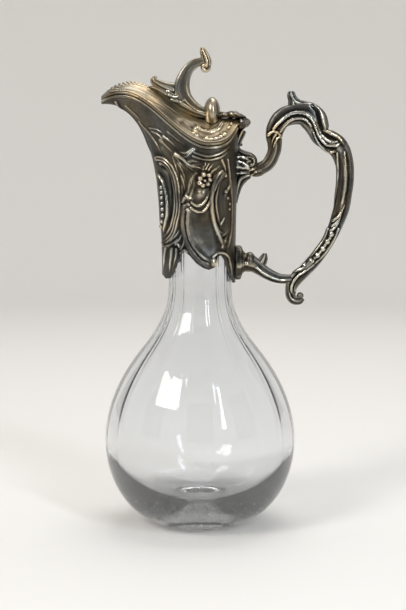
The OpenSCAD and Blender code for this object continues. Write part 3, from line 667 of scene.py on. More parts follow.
COLLAR_MARKS = [
    # the front cartouche: a bossed oval between two mouldings, with a column of husks
    ("dish", [(161, 190), (162, 205), (162, 220)], 11.0, 1.3),
    ("reed", [(157, 158), (163, 159), (170, 165), (175, 175), (178, 190), (179, 205), (177, 220), (174, 232),
              (168, 240), (162, 243)], 2.0, 1.5),
    ("groove", [(163, 166), (169, 172), (172, 184), (172.6, 200), (171, 215), (167, 227)], 1.5, 0.6),
    ("ridge", [(160, 163), (166, 167), (171, 176), (174, 190), (175, 205), (173, 220), (169, 231),
               (164, 236)], 0.9, 0.9),
    ("ridge", [(159.6, 175), (164.4, 183), (167.2, 194), (168.2, 205), (167.7, 217), (165.8, 226),
               (164.4, 232)], 0.8, 1.9),
    ("beads", [(163.4, 187), (163.4, 192), (163.6, 197.5), (164.2, 203), (164.6, 209), (164.4, 215.5),
               (163.9, 221.3), (162.9, 226.5)], 1.5, 2.6),
    # the leaves under the spout
    ("dish", [(164, 147), (174, 158)], 7.0, 0.5),
    ("dish", [(185, 174), (187, 188)], 8.0, -0.7),
    ("leaf", [(175.2, 154.3), (181.9, 158), (186.7, 163), (191.5, 165.8), (200, 164)], 1.5, 1.3),
    ("leaf", [(184, 160), (190, 168), (196, 171.4)], 0.9, 0.9),
    ("leaf", [(178, 162), (183, 172), (185, 182)], 0.9, 0.8),
    ("leaf", [(181, 176), (184, 186), (185, 195)], 0.8, 0.6),
    ("leaf", [(140, 122), (150, 134), (158, 146), (163, 156)], 1.3, 0.7),
    ("leaf", [(163, 136), (171, 142), (177, 148)], 0.9, 0.6),
    ("leaf", [(150, 128), (157, 129.4), (164, 134)], 0.8, 0.5),
    ("leaf", [(168, 132), (177, 139), (184, 144)], 0.8, 0.5),
    ("leaf", [(126, 106), (136, 115), (146, 126)], 1.0, 0.5),
    ("leaf", [(186, 196), (189, 186), (190, 177)], 1.1, 0.8),
    ("leaf", [(189, 200), (193, 190), (194, 180)], 0.9, 0.7),
    ("leaf", [(181, 200), (182, 190), (180.6, 180)], 1.0, 0.7),
    ("leaf", [(196, 173), (192, 179), (190, 187)], 0.8, 0.8),
    ("leaf", [(209, 176), (214, 170), (220, 166)], 1.0, 0.9),
    ("leaf", [(212, 181), (216, 175), (222, 171)], 0.8, 0.8),
    ("leaf", [(186.7, 163), (192, 161), (198, 162)], 0.9, 0.9),
    ("leaf", [(191, 167), (197, 167), (203, 170)], 0.8, 0.8),
    ("leaf", [(171, 240), (176, 236), (180, 229)], 1.2, 1.0),
    ("leaf", [(176, 243), (180.6, 238), (183, 231)], 1.0, 0.9),
    ("leaf", [(181, 249), (184, 243), (184.6, 236)], 0.9, 0.8),
    ("ridge", [(228, 160), (229.6, 175), (230, 190)], 0.8, 0.7),
    ("leaf", [(222, 160), (225, 168), (226, 177)], 1.0, 0.8),
    ("leaf", [(175.8, 156.3), (179.7, 162), (184.4, 168.7)], 0.9, 0.9),
    ("leaf", [(173, 157), (176, 166), (179, 177)], 0.9, 0.8),
    ("leaf", [(192, 149.6), (188.3, 152.4), (183.5, 153.4), (175.8, 150.5)], 0.9, 1.0),
    ("leaf", [(194.5, 149), (190.2, 153.4), (186.4, 156.7), (180.6, 156.3)], 0.9, 1.0),
    ("leaf", [(160, 140), (170, 150), (178, 157)], 1.1, 0.7),
    ("leaf", [(152, 131), (160, 136), (166, 144)], 0.9, 0.6),
    ("ridge", [(116, 102), (124, 113), (134, 127), (143, 139), (150, 150)], 1.1, 0.8),
    # the mouldings under the mouth
    ("ridge", [(194, 152.5), (203.6, 155.8), (211.2, 156.3), (220.8, 153.4), (229, 147)], 0.8, 0.8),
    ("ridge", [(193, 156), (203.6, 159.3), (211.2, 159.8), (220.8, 157.2), (228, 151.5)], 0.8, 0.8),
    # the rosette and the leaf over it
    ("leaf", [(203.6, 169), (205, 165.5), (206.4, 162)], 0.7, 1.0),
    ("leaf", [(206, 169), (208, 165.5), (210, 162)], 0.7, 1.0),
    ("leaf", [(208.5, 170), (211, 167), (213, 164)], 0.7, 0.9),
    ("beads", [(204.2, 174.6), (199.4, 178), (198.6, 183.6), (202.8, 186.6), (208.6, 184.6), (211.4, 180),
               (209, 175.6)], 1.7, 1.7),
    ("beads", [(205, 180.6)], 1.2, 2.1),
    ("dish", [(202, 194)], 5.0, 1.4),
    # the cartouche at the side: a great C-scroll round a hollow, two mouldings over it, a scroll behind it
    ("ridge", [(192, 203), (197, 206), (201.7, 205), (205.5, 201), (209, 192)], 0.9, 1.1),
    ("ridge", [(191, 208), (196.9, 211.8), (202.6, 211.8), (207.4, 207), (212, 196)], 0.9, 1.1),
    ("ridge", [(183, 202), (184.5, 198.4), (187.6, 197.2), (191.6, 199.3)], 1.0, 1.3),
    ("ridge", [(184.6, 207), (187, 204.4), (190.4, 205)], 0.8, 1.0),
    ("dish", [(202, 222), (203, 234), (206, 245)], 8.5, -1.3),
    ("dish", [(186, 212), (185.6, 226), (188, 239), (193.6, 250), (200.6, 258), (208, 262.6)], 4.6, 1.3),
    ("ridge", [(184, 207), (183.4, 219), (184.4, 231), (187.6, 242), (193, 252), (199.6, 260), (207, 264.6),
               (213, 265.4)], 2.1, 1.0),
    ("ridge", [(188.2, 210), (187.6, 222), (189, 234), (192.6, 244), (198.4, 252.6), (205, 258.4),
               (212, 260.6)], 1.2, 1.3),
    ("groove", [(186.2, 212), (185.6, 222), (186.8, 234), (190.4, 244), (196, 253), (203, 260),
                (210, 263)], 0.7, 0.9),
    ("beads", [(213.6, 262.6)], 3.1, 1.9),
    ("ridge", [(213, 258), (217, 253.6), (222.7, 253), (227.5, 256), (230, 264), (232, 274)], 0.9, 1.0),
    ("ridge", [(222, 171.5), (217, 177), (213.5, 187), (211.5, 200), (213, 215), (216, 228), (221, 240),
               (224, 247)], 1.5, 1.3),
    ("ridge", [(226, 173), (221.6, 179), (218, 188), (216, 201), (217.5, 215), (220.5, 227)], 0.8, 0.9),
    ("beads", [(224.4, 175.2)], 1.7, 1.8),
    ("leaf", [(224, 174.4), (221, 177.3), (216.3, 185), (213.5, 192.6), (212.5, 199)], 1.9, 1.5),
    ("leaf", [(215.4, 225), (219.2, 231), (225, 235)], 1.4, 1.1),
    ("leaf", [(217.3, 234), (223, 239.5), (228, 242)], 1.2, 0.9),
    # the rear cartouche with its husks, and the bands beside the handle
    ("dish", [(226, 200), (226, 214), (226, 228)], 7.0, 0.9),
    ("ridge", [(229.5, 186), (225, 196), (224, 208), (226, 220), (229.5, 230)], 0.9, 0.9),
    ("ridge", [(230.5, 180), (231.4, 196), (231.6, 215), (230.6, 232), (228.4, 246)], 0.9, 0.8),
    ("beads", [(225.6, 192), (227, 198), (228.6, 203.6), (228.6, 209)], 1.3, 1.4),
    ("leaf", [(222, 247), (225, 241), (227.6, 233)], 1.0, 0.9),
    ("leaf", [(220.4, 224), (223, 219.5), (225, 215)], 1.1, 1.3),
    ("leaf", [(222, 236), (226, 232), (228.6, 226)], 1.1, 1.0),
    # the front lappet's leaves
    ("ridge", [(163, 246), (169, 245.5), (175, 242), (179, 239)], 0.9, 0.9),
    ("leaf", [(179.7, 246.2), (177.2, 244), (174.5, 246.5)], 1.0, 1.1),
    ("leaf", [(166, 248), (165, 258), (163.6, 270)], 1.6, 1.1),
    ("leaf", [(172, 250), (171, 260), (169.6, 272)], 1.5, 1.1),
    ("leaf", [(176.6, 250), (176, 257), (173.4, 266)], 1.2, 0.9),
    ("ridge", [(180.5, 253.6), (184.2, 250.4), (188, 253)], 0.8, 0.8),
]

LID_MARKS = [
    ("dish", [(184.4, 123.6), (190, 127)], 4.4, -1.7),
    ("leaf", [(194.6, 129), (197.4, 126), (200.6, 124)], 0.9, 0.7),
    ("reed", [(198, 128), (202, 130.6), (207.9, 132), (214, 131), (219.6, 127.6), (223, 122)], 1.5, 1.2),
    ("beads", [(194, 133.4), (197.6, 136), (201.6, 138), (226.6, 131.4), (229.2, 127.6),
               (231.4, 123.8)], 1.3, 0.8),
    ("beads", [(206, 139.2), (211, 139.8), (216, 139), (220.4, 137.2), (224, 134.6)], 1.9, 1.1),
    ("ridge", [(110, 92), (126, 93.5), (144, 99), (160, 107), (174, 116)], 0.5, 0.25),
    ("ridge", [(112, 89), (128, 89), (146, 94), (163, 103), (178, 113)], 0.5, 0.25),
]

# ---------- pieces ----------


def glass_profiles():
    """Outer and inner outlines [radius, height] of the glass: an ellipse, then two cubic bends."""
    k = np.linspace(0, 1, 40)[:, None]
    s = np.linspace(0, 1, 40)[1:, None]

    def bends(r, shoulder, neck, lift, lean, draw):
        first = [(r, BELLY_Z), (r, BELLY_Z + lift * GRID), (shoulder + lean * GRID, SHOULDER_Z - 22 * GRID),
                 (shoulder, SHOULDER_Z)]
        second = [(shoulder, SHOULDER_Z), (shoulder - draw * GRID, SHOULDER_Z + 17 * GRID),
                  (neck, NECK_Z - 18 * GRID), (neck, NECK_Z)]
        return np.vstack([bezier(*np.array(first, float), s), bezier(*np.array(second, float), s)])

    z = BELLY_Z * k**1.6
    outer = np.hstack([BASE_R + (BELLY_R - BASE_R) * np.sqrt(1 - ((BELLY_Z - z) / BELLY_Z) ** 2), z])
    outer = np.vstack([[[0, 0.4], [BASE_R - 3, 0.0]], outer,
                       bends(BELLY_R, SHOULDER_R, NECK_R, 28, 17.6, 13.6),
                       [[NECK_R, LIP_Z - 1], [NECK_R - 0.6, LIP_Z]]])
    r, neck = BELLY_R - BELLY_WALL, NECK_R - NECK_WALL
    z = mix(BASE_T, BELLY_Z, k**1.6)
    inner = np.hstack([r * np.sqrt(np.clip(1 - ((BELLY_Z - z) / (BELLY_Z - BASE_T)) ** 2, 0, 1)), z])
    inner = np.vstack([inner[1:], bends(r, SHOULDER_R - NECK_WALL - 0.8, neck, 27, 17.9, 13.1),
                       [[neck, LIP_Z - 0.6], [neck + 0.4, LIP_Z]]])
    return outer, inner


class CLARET_OT_glass(bpy.types.Operator):
    """The blown glass body with optic flutes inside"""
    bl_idname = "claret.glass"
    bl_label = "Glass Body"

    def execute(self, context):
        """Each level is a circle drawn towards a polygon with as many sides as there are flutes, and a low rib
        stands on each corner: strongly inside, faintly outside, and fading below the belly's middle."""
        settings = context.scene.claret_jug
        outer, inner = glass_profiles()
        turn = 2 * np.pi * np.arange(384) / 384
        half = np.pi / settings.flutes
        local = np.abs((turn + half) % (2 * half) - half)
        soft = np.sqrt(local**2 + 0.012**2)
        panel = np.cos(half) / np.cos(soft)
        panel = panel / panel.max()
        rib = bump((half - local) / 0.045)[None, :]

        def level(profile, strength):
            r, z = profile[:, 0:1], profile[:, 1:2]
            fade = np.clip((z - 40) / 45, 0, 1) * np.clip((LIP_Z - 8 - z) / 50, 0.35, 1)
            r = r * mix(1.0, panel[None, :], strength * fade) - FLUTE_RIB * rib * strength * fade
            return np.stack([r * np.cos(turn), r * np.sin(turn), z + 0 * r], -1)

        grid = np.concatenate([level(outer, 0.3 * settings.flute_strength),
                               level(inner[::-1], settings.flute_strength)])
        piece = add_mesh("glass_vessel", grid)
        dressed(piece, "jug", "fluted glass", "glass_body")
        return {"FINISHED"}


class CLARET_OT_collar(bpy.types.Operator):
    """The cast collar with its spout and relief, and the wire on its edge"""
    bl_idname = "claret.collar"
    bl_label = "Collar and Rim"

    def execute(self, context):
        """The relief stands on the collar's outer surface along its normals, and ends just under the wire.
        The inner surface lies a wall's thickness inside the plain one."""
        a = np.linspace(0, 2 * np.pi, COLLAR_COLUMNS, endpoint=False)[None, :]
        t = np.linspace(0, 1, COLLAR_ROWS)[:, None]
        base = collar(a + 0 * t, t + 0 * a)
        normals = outward(base)
        if np.sum(normals[40, :, 0] * np.cos(a[0])) < 0:
            normals = -normals
        h = carved(base, normals, COLLAR_MARKS) * context.scene.claret_jug.relief
        h = h * np.clip((1 - t) / 0.03, 0, 1)
        # Painted highlight on the relief's high places, tarnish with painted shade in its hollows.
        painted_light_and_tarnish = (h - blurred(h, 5)) * 1.5
        inner_t = np.linspace(1, 0, WALL_ROWS)[:, None]
        inner = collar(a + 0 * inner_t, inner_t + 0 * a)
        inner_normals = np.stack([normals[int(round(f * (COLLAR_ROWS - 1)))] for f in inner_t[:, 0]])
        edge = rim_out(a[0])[None] * np.ones_like(inner)
        inner = inner - mix(inner_normals, edge, inner_t[..., None] ** 6) * COLLAR_WALL
        grid = np.concatenate([base + normals * h[..., None], inner])
        # The collar's inner wall is darker.
        painted_light_and_tarnish = np.concatenate([painted_light_and_tarnish, np.full(inner.shape[:2], -0.25)])
        piece = add_mesh("collar_casting", grid, painted_light_and_tarnish, loop_rows=True)
        dressed(piece, "jug", "silver plate", "collar_mount")

        a = np.linspace(0, 2 * np.pi, 480, endpoint=False)
        b = np.linspace(0, 2 * np.pi, 24, endpoint=False)
        swell = 1 - 0.16 * np.exp(-((np.abs(b - np.pi) - np.pi) / 0.35) ** 2)
        side = RIM_W / 2 * np.cos(b) * swell
        rise = SEAM + RIM_H / 2 + RIM_H / 2 * signed_power(np.sin(b), 0.6)
        grid = rim_middle(a)[:, None] + rim_out(a)[:, None] * side[None, :, None]
        grid[..., 2] += rise[None, :]
        # Painted highlight on the wire's outer, upper side and painted shade on its inner, lower side.
        painted_light_and_tarnish = np.broadcast_to(0.75 * np.cos(b - 0.5)[None, :], grid.shape[:2])
        piece = add_mesh("rim_wire", grid, painted_light_and_tarnish, loop_rows=True)
        dressed(piece, "jug", "silver plate", "rim_moulding")
        return {"FINISHED"}


class CLARET_OT_lid(bpy.types.Operator):
    """The hollow-sided lid and the border on its edge"""
    bl_idname = "claret.lid"
    bl_label = "Lid"

    def execute(self, context):
        """The top follows the lid's surface with its marks and a beaded crest on the ridge's front. The
        underside lies a thickness below it, drawn in a little at the edge."""
        a = np.radians(np.linspace(2.5, 177.5, LID_ROWS))[:, None]
        v = signed_power(np.linspace(-1, 1, LID_COLUMNS)[None, :], 1.15)
        x = rim_xy(a)[0] + LID_OVER * np.cos(a) + 0 * v
        y = lid_half(a) * v
        top = np.stack([x, y, lid_top(x, y)], -1)
        normals = outward(top, loop_columns=False)
        normals = normals * np.sign(normals[..., 2:3] + 1e-9)
        h = carved(top, normals, LID_MARKS)
        crest = bump(y / 4.2) * np.clip((-x - 24) / 4, 0, 1) * np.clip((x + 60) / 5, 0, 1)
        h = h + crest * (0.35 + 0.35 * np.cos(x * 2.6) * np.cos(y * 2.4))
        streaks = 0.03 * np.sin(v * 41 + 1.3) + 0.02 * np.sin(v * 67 + a * 3)
        h = h + streaks * (np.abs(v) < 0.93)
        # Painted highlight on the marks' high places, tarnish with painted shade in their hollows, and light
        # and dark stripes along the lid.
        painted_light_and_tarnish = (h - blurred(h, 4, loop_columns=False)) * 2.2 + 0.12 * np.sin(v * 23)
        top = top + normals * h[..., None]
        draw_in = 1 - LID_T * 0.25 / np.maximum(np.abs(rim_xy(a)[1]), 2.5)
        under_y = y * draw_in
        under = np.stack([x, under_y, lid_top(x, under_y) - LID_T], -1)[:, ::-1]
        grid = np.concatenate([top, under], axis=1)
        # The underside is darker.
        painted_light_and_tarnish = np.concatenate([painted_light_and_tarnish, np.full(under.shape[:2], -0.3)], axis=1)
        piece = add_mesh("lid_casting", grid, painted_light_and_tarnish)
        dressed(piece, "lid", "lid plate", "lid_shell")

        for side, node in ((-1, "lid_border_left"), (1, "lid_border_right")):
            a = np.radians(np.linspace(27, 157.5, BORDER_RINGS))
            b = np.linspace(0, 2 * np.pi, 16, endpoint=False)
            ring = np.arange(BORDER_RINGS)
            x = rim_xy(a)[0] + LID_OVER * np.cos(a)
            y = lid_half(a) * BORDER_SEAT
            middle = np.stack([x, y, lid_top(x, y)], -1)
            out = rim_out(a)
            ends = np.clip(np.minimum(ring, ring[::-1]) / 10, 0.15, 1)
            radius = BORDER_R * ends * (1 + 0.12 * np.cos(ring * 0.9))
            grid = middle[:, None] + out[:, None] * (radius[:, None] * np.cos(b)[None])[..., None]
            grid[..., 2] += SEAM + BORDER_R + radius[:, None] * np.sin(b)[None]
            grid[..., 1] *= side
            # Painted highlight on top of the bead and painted shade under it.
            painted_light_and_tarnish = np.broadcast_to(0.6 * np.sin(b)[None], grid.shape[:2])
            piece = add_mesh(f"{node}_bead", grid, painted_light_and_tarnish)
            dressed(piece, "lid", "lid plate", node)
        return {"FINISHED"}


SCROLL_BODY = [
    (207, 63.4, 6, 5.6), (202, 61.6, 7.6, 7.6), (195, 63.6, 9, 9.2), (188.6, 69, 10.6, 10.2),
    (184, 77.4, 13, 10.7), (181.8, 87, 15.6, 10.9), (184, 96.4, 15, 10.9), (190.4, 103.8, 12, 10.9),
    (198, 109, 9.6, 10.7), (206, 112, 7.6, 10)]
SCROLL_TIP = [
    (206.4, 68, 8, 7), (207, 63.6, 9.6, 8), (206, 59, 9.8, 8), (204.2, 54, 8.4, 7), (202.8, 50, 6.4, 5.6),
    (202.2, 47.4, 3.6, 3)]
CURL_TABLE = [
    (-24, 46.5, 12, 0.8), (-30.2, 48.6, 8.8, 0.7), (-34.8, 50.8, 7.3, 0.6), (-38.3, 53.1, 6.1, 0.55),
    (-38.6, 55.4, 5, 0.5), (-36.4, 56.5, 2.7, 0.4)]
SCROLL_X, SCROLL_W = 3 * GRID, 10.7
KNOB_PIXEL, KNOB_RADII, TERMINAL_PIXEL = (212, 112.4), (5.3, 9.5), (205.8, 67.2)


class CLARET_OT_thumb_scroll(bpy.types.Operator):
    """The C-scroll on the lid that the thumb presses"""
    bl_idname = "claret.thumb_scroll"
    bl_label = "Thumb Scroll"

    def execute(self, context):
        """The scroll's sides are hollow between two raised rims, its ends are volutes, and a leaf roots it."""
        def hollow(s, c, side):
            rims = 0.6 * bump((np.abs(c) - 0.8) / 0.2) * side
            return rims - 1.3 * np.exp(-(c / 0.55) ** 4) * side**4

        def veined(s, c, side):
            return 0.3 * np.cos(c * 9) * side - 0.15

        curl = placed(CURL_TABLE, SCROLL_X, SIDE_Z, SCROLL_W, 12)
        knob, terminal = middle_plane([KNOB_PIXEL, TERMINAL_PIXEL])
        body = casting("thumb_scroll_body", drawn(SCROLL_BODY), 12, hollow, over_lid=True)
        pieces = [
            casting("thumb_scroll_tip", drawn(SCROLL_TIP), 12, veined, sides=40),
            casting("thumb_scroll_curl", curl, 24, veined, sides=48, over_lid=True),
            casting("thumb_scroll_root", drawn(SCROLL_ROOT), 16, lobed, SCROLL_MARKS, 64, over_lid=True),
            volute("thumb_scroll_knob", knob, KNOB_RADII, 9.2, 0, lid_top),
            volute("thumb_scroll_terminal", terminal, 3.3, 3.9, 0.8)]
        dressed(body, "lid", "scroll plate", "thumb_scroll")
        for piece in pieces:
            dressed(piece, "lid", "lid plate", "thumb_scroll")
        return {"FINISHED"}


HANDLE_TABLE = [
    (16, -15, 10.6, 0.75), (22.5, -12, 9.8, 0.75), (26.5, -8, 10.2, 0.78), (29.5, -1, 10.3, 0.82),
    (30, 5, 11.2, 0.85), (29.5, 10, 12.6, 0.92), (30, 15, 13.7, 0.95), (31.5, 19, 14.1, 0.98),
    (34, 23, 14.6, 1), (38, 26, 15.1, 1), (43, 27.5, 15.7, 1), (49, 28.5, 17.2, 1.03),
    (55, 27.5, 20, 1.05), (60.5, 23, 20.4, 1.05), (63.5, 16.5, 17.7, 1.02), (66, 11, 15.3, 1),
    (71.5, 8, 16.2, 1), (77.5, 4, 16.5, 1.02), (81.5, -2, 15.4, 1.02), (84, -10.5, 14, 1),
    (84.5, -17, 13.8, 1), (84.5, -24.5, 13.3, 0.98), (83.5, -33.5, 12.9, 0.95),
    (82, -44, 12.5, 0.92), (79.5, -52, 11.6, 0.88), (76.5, -60, 10.5, 0.85), (72, -69, 9.9, 0.82),
    (66.5, -78, 9.7, 0.78), (60.5, -86, 9.5, 0.75), (54, -92.5, 9.8, 0.72), (48, -98, 10.5, 0.7),
    (44, -104, 9.5, 0.67), (43, -109, 8.3, 0.63), (43.5, -113, 7.6, 0.6), (46, -115.5, 7.3, 0.57),
    (50, -115.5, 7, 0.53), (52, -113.5, 5.5, 0.47)]
BUD_TABLE = [(44, 32, 8.4, 0.67), (43.8, 37.4, 7.4, 0.64), (43.3, 41.4, 6.3, 0.54), (42.8, 44.1, 3.8, 0.33),
             (42.8, 45.5, 1.2, 0.12)]
SPUR_TABLE = [(18.8, -4, 7, 0.64), (20.3, 1, 5.4, 0.59), (22.1, 5, 3.5, 0.45), (23.8, 8.2, 0.9, 0.18)]
HANDLE_W, BRACKET_W = 9.8, 9.0

HANDLE_MARKS = [
    # the ridges that run from the ring over the top bend and end in the two volutes
    ("ridge", [(273.4, 129), (279.2, 122.5), (287.9, 115.4), (296.6, 112.6), (305.3, 114), (312.6, 121),
               (316, 130), (320, 138), (327, 144.9), (335.7, 145.6), (342, 142)], 0.9, 0.9),
    ("ridge", [(279.2, 133.3), (283.6, 126.6), (290.8, 120.4), (299.5, 118), (306.8, 120.4),
               (311.4, 126)], 0.8, 0.8),
    ("groove", [(276, 130.4), (281.6, 124.2), (289.6, 117.6), (298, 115.2), (306, 117), (312, 123.6),
                (315, 132), (319.4, 141), (327, 148.2), (336, 148.4)], 0.8, 0.8),
    ("ridge", [(314, 133), (318.4, 141.6), (324.2, 149), (330, 152), (336, 151.4)], 0.8, 0.8),
    ("groove", [(313, 106), (318, 112), (320, 121), (323, 130), (329, 136.6), (336, 138)], 1.5, 0.7),
    ("ridge", [(324.6, 131), (331, 133.4), (338, 137.4), (343.4, 143.6)], 1.0, 0.8),
    ("ridge", [(322, 135.4), (328, 141), (334, 142.6), (340, 140.6)], 0.7, 0.6),
    # the ring of leaves on the rising part
    ("ridge", [(269, 135), (272.6, 131.8), (277.4, 132.4), (281, 137.6)], 1.1, 1.2),
    ("leaf", [(280.4, 136), (276, 140), (273.6, 147)], 1.1, 1.0),
    ("leaf", [(276, 134), (273, 139), (271.6, 145)], 0.9, 0.8),
    # long ridges down the grip, leaf strokes and the strip of husks
    ("ridge", [(344.6, 152), (346, 170), (345, 188), (342, 203)], 0.7, 0.6),
    ("ridge", [(337, 153.6), (338.4, 168), (337.6, 184), (334.6, 204)], 0.7, 0.6),
    ("leaf", [(333.4, 221), (340, 214.4), (344.6, 205.6)], 1.2, 1.0),
    ("leaf", [(332.6, 226), (338.6, 220.4), (342, 213.4)], 1.1, 1.0),
    ("leaf", [(330.6, 231), (336.6, 225.6), (340.6, 219)], 1.0, 0.9),
    ("ridge", [(338, 229), (333.4, 240), (327, 250), (319.6, 259), (311, 267)], 0.8, 0.9),
    ("ridge", [(328.6, 229), (325, 238.6), (319, 247.4), (312, 255.4), (303, 263)], 0.8, 0.8),
    ("beads", [(331.4, 234.6), (327.6, 242), (323, 248.8), (317.6, 255.4), (311.6, 261.2),
               (305.4, 265.8)], 2.0, 1.2),
    ("beads", [(329.8, 238.4), (325.4, 245.6), (320.4, 252.2), (314.6, 258.4), (308.6, 263.6)], 1.2, 0.9),
    ("leaf", [(310, 263), (303, 268.6), (293, 272.6)], 1.9, 1.1),
    ("leaf", [(313, 265), (304, 272), (297, 277)], 1.1, 0.9),
    # the grooves of the tail
    ("groove", [(298, 273), (291, 281), (289.6, 290), (293, 298)], 0.7, 0.6),
    ("groove", [(301, 276), (295, 283), (293.6, 290), (296.6, 296)], 0.6, 0.5),
]
# small castings: rows of the photograph's pixel, the thickness in pixels, the width across the jug
BUD_LEAF = [
    (291, 91.2, 4.6, 2.6), (291.2, 93, 7.4, 4.6), (291.8, 97, 9, 6), (294.6, 101.6, 9.6, 7),
    (299.6, 103.8, 8.4, 6.6), (306, 104.8, 7.2, 6.8), (312.4, 106.8, 5.6, 6.4), (317.6, 111, 4.4, 5.6),
    (320.6, 117.4, 3.2, 4.4), (321.8, 125, 1.6, 2.4)]
SOCKET_BODY = [
    (231, 165, 34, 15), (235.2, 165, 31, 13.4), (238.6, 165.4, 26, 12), (243, 166.4, 21, 10.4),
    (248, 168.4, 15.4, 9.2), (253, 170.6, 12, 8.4), (257.4, 171.2, 11.2, 7.8), (261, 170.2, 10.8, 7.4)]
SOCKET_BAND = [
    (237.6, 149, 4.4, 6.5), (240.4, 151.6, 5.2, 8), (245.4, 153.6, 5.4, 9.2), (250.4, 155, 5, 9.6),
    (254.4, 158.2, 4.2, 9.4), (255.8, 163, 3.2, 8.8), (254.6, 167, 2.2, 7.6)]
SOCKET_CURL = [
    (236.6, 155, 4.6, 7), (237.2, 149, 5, 7.6), (238.4, 145.4, 4.4, 7.2), (240.6, 144, 3.2, 6.4),
    (242, 145.8, 2, 5)]
SOCKET_LEAF = [
    (250, 175.4, 6, 7.2), (245, 176.6, 10, 8), (240.2, 179.6, 12, 8), (238, 186, 9, 7),
    (236.8, 194, 5.6, 5), (236, 203, 2.6, 2.4)]
BRACKET_ARM = [
    (235.6, 262.5, 34, 11), (240.6, 262.5, 33, 11.4), (243, 262.6, 23, 9.6), (246, 262.8, 18, 9.6),
    (250.5, 263.4, 17.5, 9.6), (255, 265.4, 15, 9), (260, 268.8, 13, 8.6), (266, 272.8, 12, 8.2),
    (273, 276.4, 11, 7.8), (280, 278.6, 9.8, 7.2), (286.6, 279, 9, 6.6), (291.4, 278.6, 8.4, 6.2)]
LUMP_PIXEL, LUMP_RADII = (249.6, 260.4), (3.9, 5.4)
TAIL_BALL_PIXEL, TAIL_BALL_R = (300.2, 295.6), 2.2
SPUR_LEAF = [
    (254, 268, 9, 6.2), (258.6, 266, 11, 6), (262, 262, 10, 5.6), (264, 257.6, 8, 4.6), (265, 253.6, 4, 2.4)]
LID_STRAP = [
    (212, 118.6, 3, 6), (217, 116.6, 4.6, 7), (221.4, 114.8, 6.4, 8.4), (226, 115, 5.6, 10),
    (231, 114.6, 7, 13), (235.6, 114.6, 6.6, 15.6), (239.6, 116.4, 5, 17.4), (243, 117.2, 3.6, 18),
    (245.6, 118, 2.4, 18)]
COLLAR_STRAP = [
    (235.6, 152, 4, 9.4), (236.8, 145, 6.6, 12), (238.6, 139, 8.4, 15), (240.8, 133.8, 9, 17.6),
    (243, 130.4, 7.6, 19)]
SCROLL_ROOT = [
    (151, 87, 3, 5), (157, 89.4, 6, 7), (164, 93.4, 8, 8.6), (171, 97.4, 11, 9.6), (179, 102.6, 13, 10.4),
    (188, 108, 12, 10.8), (197, 112.6, 9, 10.8), (206, 115.8, 6, 10.6), (214, 117.4, 4, 10)]
SCROLL_MARKS = [
    ("leaf", [(167, 91), (174, 92), (180, 88)], 0.9, 0.9),
    ("leaf", [(169, 95), (176, 97), (182, 94)], 0.9, 0.9),
    ("leaf", [(172, 100), (180, 102), (186, 99)], 0.8, 0.8),
    ("ridge", [(184, 99), (190, 105.4), (198, 110.6), (206, 113)], 0.6, 0.6),
]
STRAP_MARKS = [
    ("leaf", [(224, 114), (229, 117), (233, 122)], 1.0, 0.8),
    ("leaf", [(230, 113), (235, 116), (239, 121)], 1.0, 0.8),
]
SOCKET_VOLUTE = (249.5, 162.5)
SOCKET_MARKS = [
    ("leaf", [(255, 168), (249, 171), (243, 177)], 1.1, 1.0),
    ("leaf", [(256, 172), (250, 175.4), (245, 181)], 1.0, 0.9),
    ("leaf", [(252, 165), (246, 165), (240, 169)], 0.9, 0.8),
    ("leaf", [(249, 160), (243, 157.6), (237, 157)], 1.5, 1.1),
    ("leaf", [(248, 166), (242, 162), (236.6, 162)], 1.5, 1.1),
    ("leaf", [(248, 168), (242, 167.6), (236.6, 168)], 1.5, 1.1),
    ("leaf", [(248, 172), (242, 172.6), (236.6, 174)], 1.5, 1.1),
]
BRACKET_MARKS = [
    ("beads", [(246.6, 263)], 1.5, 0.7),
    ("leaf", [(252, 254), (249, 258), (246.6, 261)], 1.3, 0.7),
    ("ridge", [(257, 268), (265, 275), (275, 279.5), (285, 280.6)], 0.8, 0.5),
]


class CLARET_OT_handle(bpy.types.Operator):
    """The scroll handle, its socket on the collar and its lower bracket"""
    bl_idname = "claret.handle"
    bl_label = "Handle"

    def execute(self, context):
        """Long ridges run beside the handle's edges and along its middle, and fade towards its ends."""
        def ridged(s, c, side):
            fade = np.clip(s / 0.04, 0, 1) * np.clip((1 - s) / 0.05, 0, 1)
            rims = 0.45 * bump((np.abs(c) - 0.78) / 0.22)
            middle = 0.3 * bump((c + 0.12) / 0.2)
            return (rims + middle - 0.35 * bump((c - 0.32) / 0.3)) * side * fade

        grip = placed(HANDLE_TABLE, HANDLE_X, HANDLE_Z, HANDLE_W, 16)
        bud = placed(BUD_TABLE, HANDLE_X, HANDLE_Z, HANDLE_W, 10)
        spur = placed(SPUR_TABLE, HANDLE_X, BRACKET_Z, BRACKET_W, 12)
        lump, ball, eye = middle_plane([LUMP_PIXEL, TAIL_BALL_PIXEL, SOCKET_VOLUTE])
        pieces = {
            "handle": [
                casting("handle_scroll", grip, 16, ridged, HANDLE_MARKS, 96),
                casting("handle_bud", bud, 20, lobed, sides=40),
                leaf("handle_bud_leaf", BUD_LEAF),
                volute("handle_tail_ball", ball, TAIL_BALL_R, 2.6, 0)],
            "handle_socket": [
                casting("socket_body", drawn(SOCKET_BODY), 12, lobed, SOCKET_MARKS, 64),
                leaf("socket_band", SOCKET_BAND),
                leaf("socket_curl", SOCKET_CURL),
                leaf("socket_leaf", SOCKET_LEAF),
                volute("socket_volute", eye, 4.5, 4.4)],
            "handle_bracket": [
                casting("bracket_arm", drawn(BRACKET_ARM), 12, ridged, BRACKET_MARKS, 72),
                casting("bracket_spur", spur, 24, lobed, sides=40),
                leaf("bracket_spur_leaf", SPUR_LEAF),
                volute("bracket_lump", lump, LUMP_RADII, 5.8, 0)]}
        for node, castings in pieces.items():
            for piece in castings:
                dressed(piece, "jug", "silver plate", node)
        return {"FINISHED"}


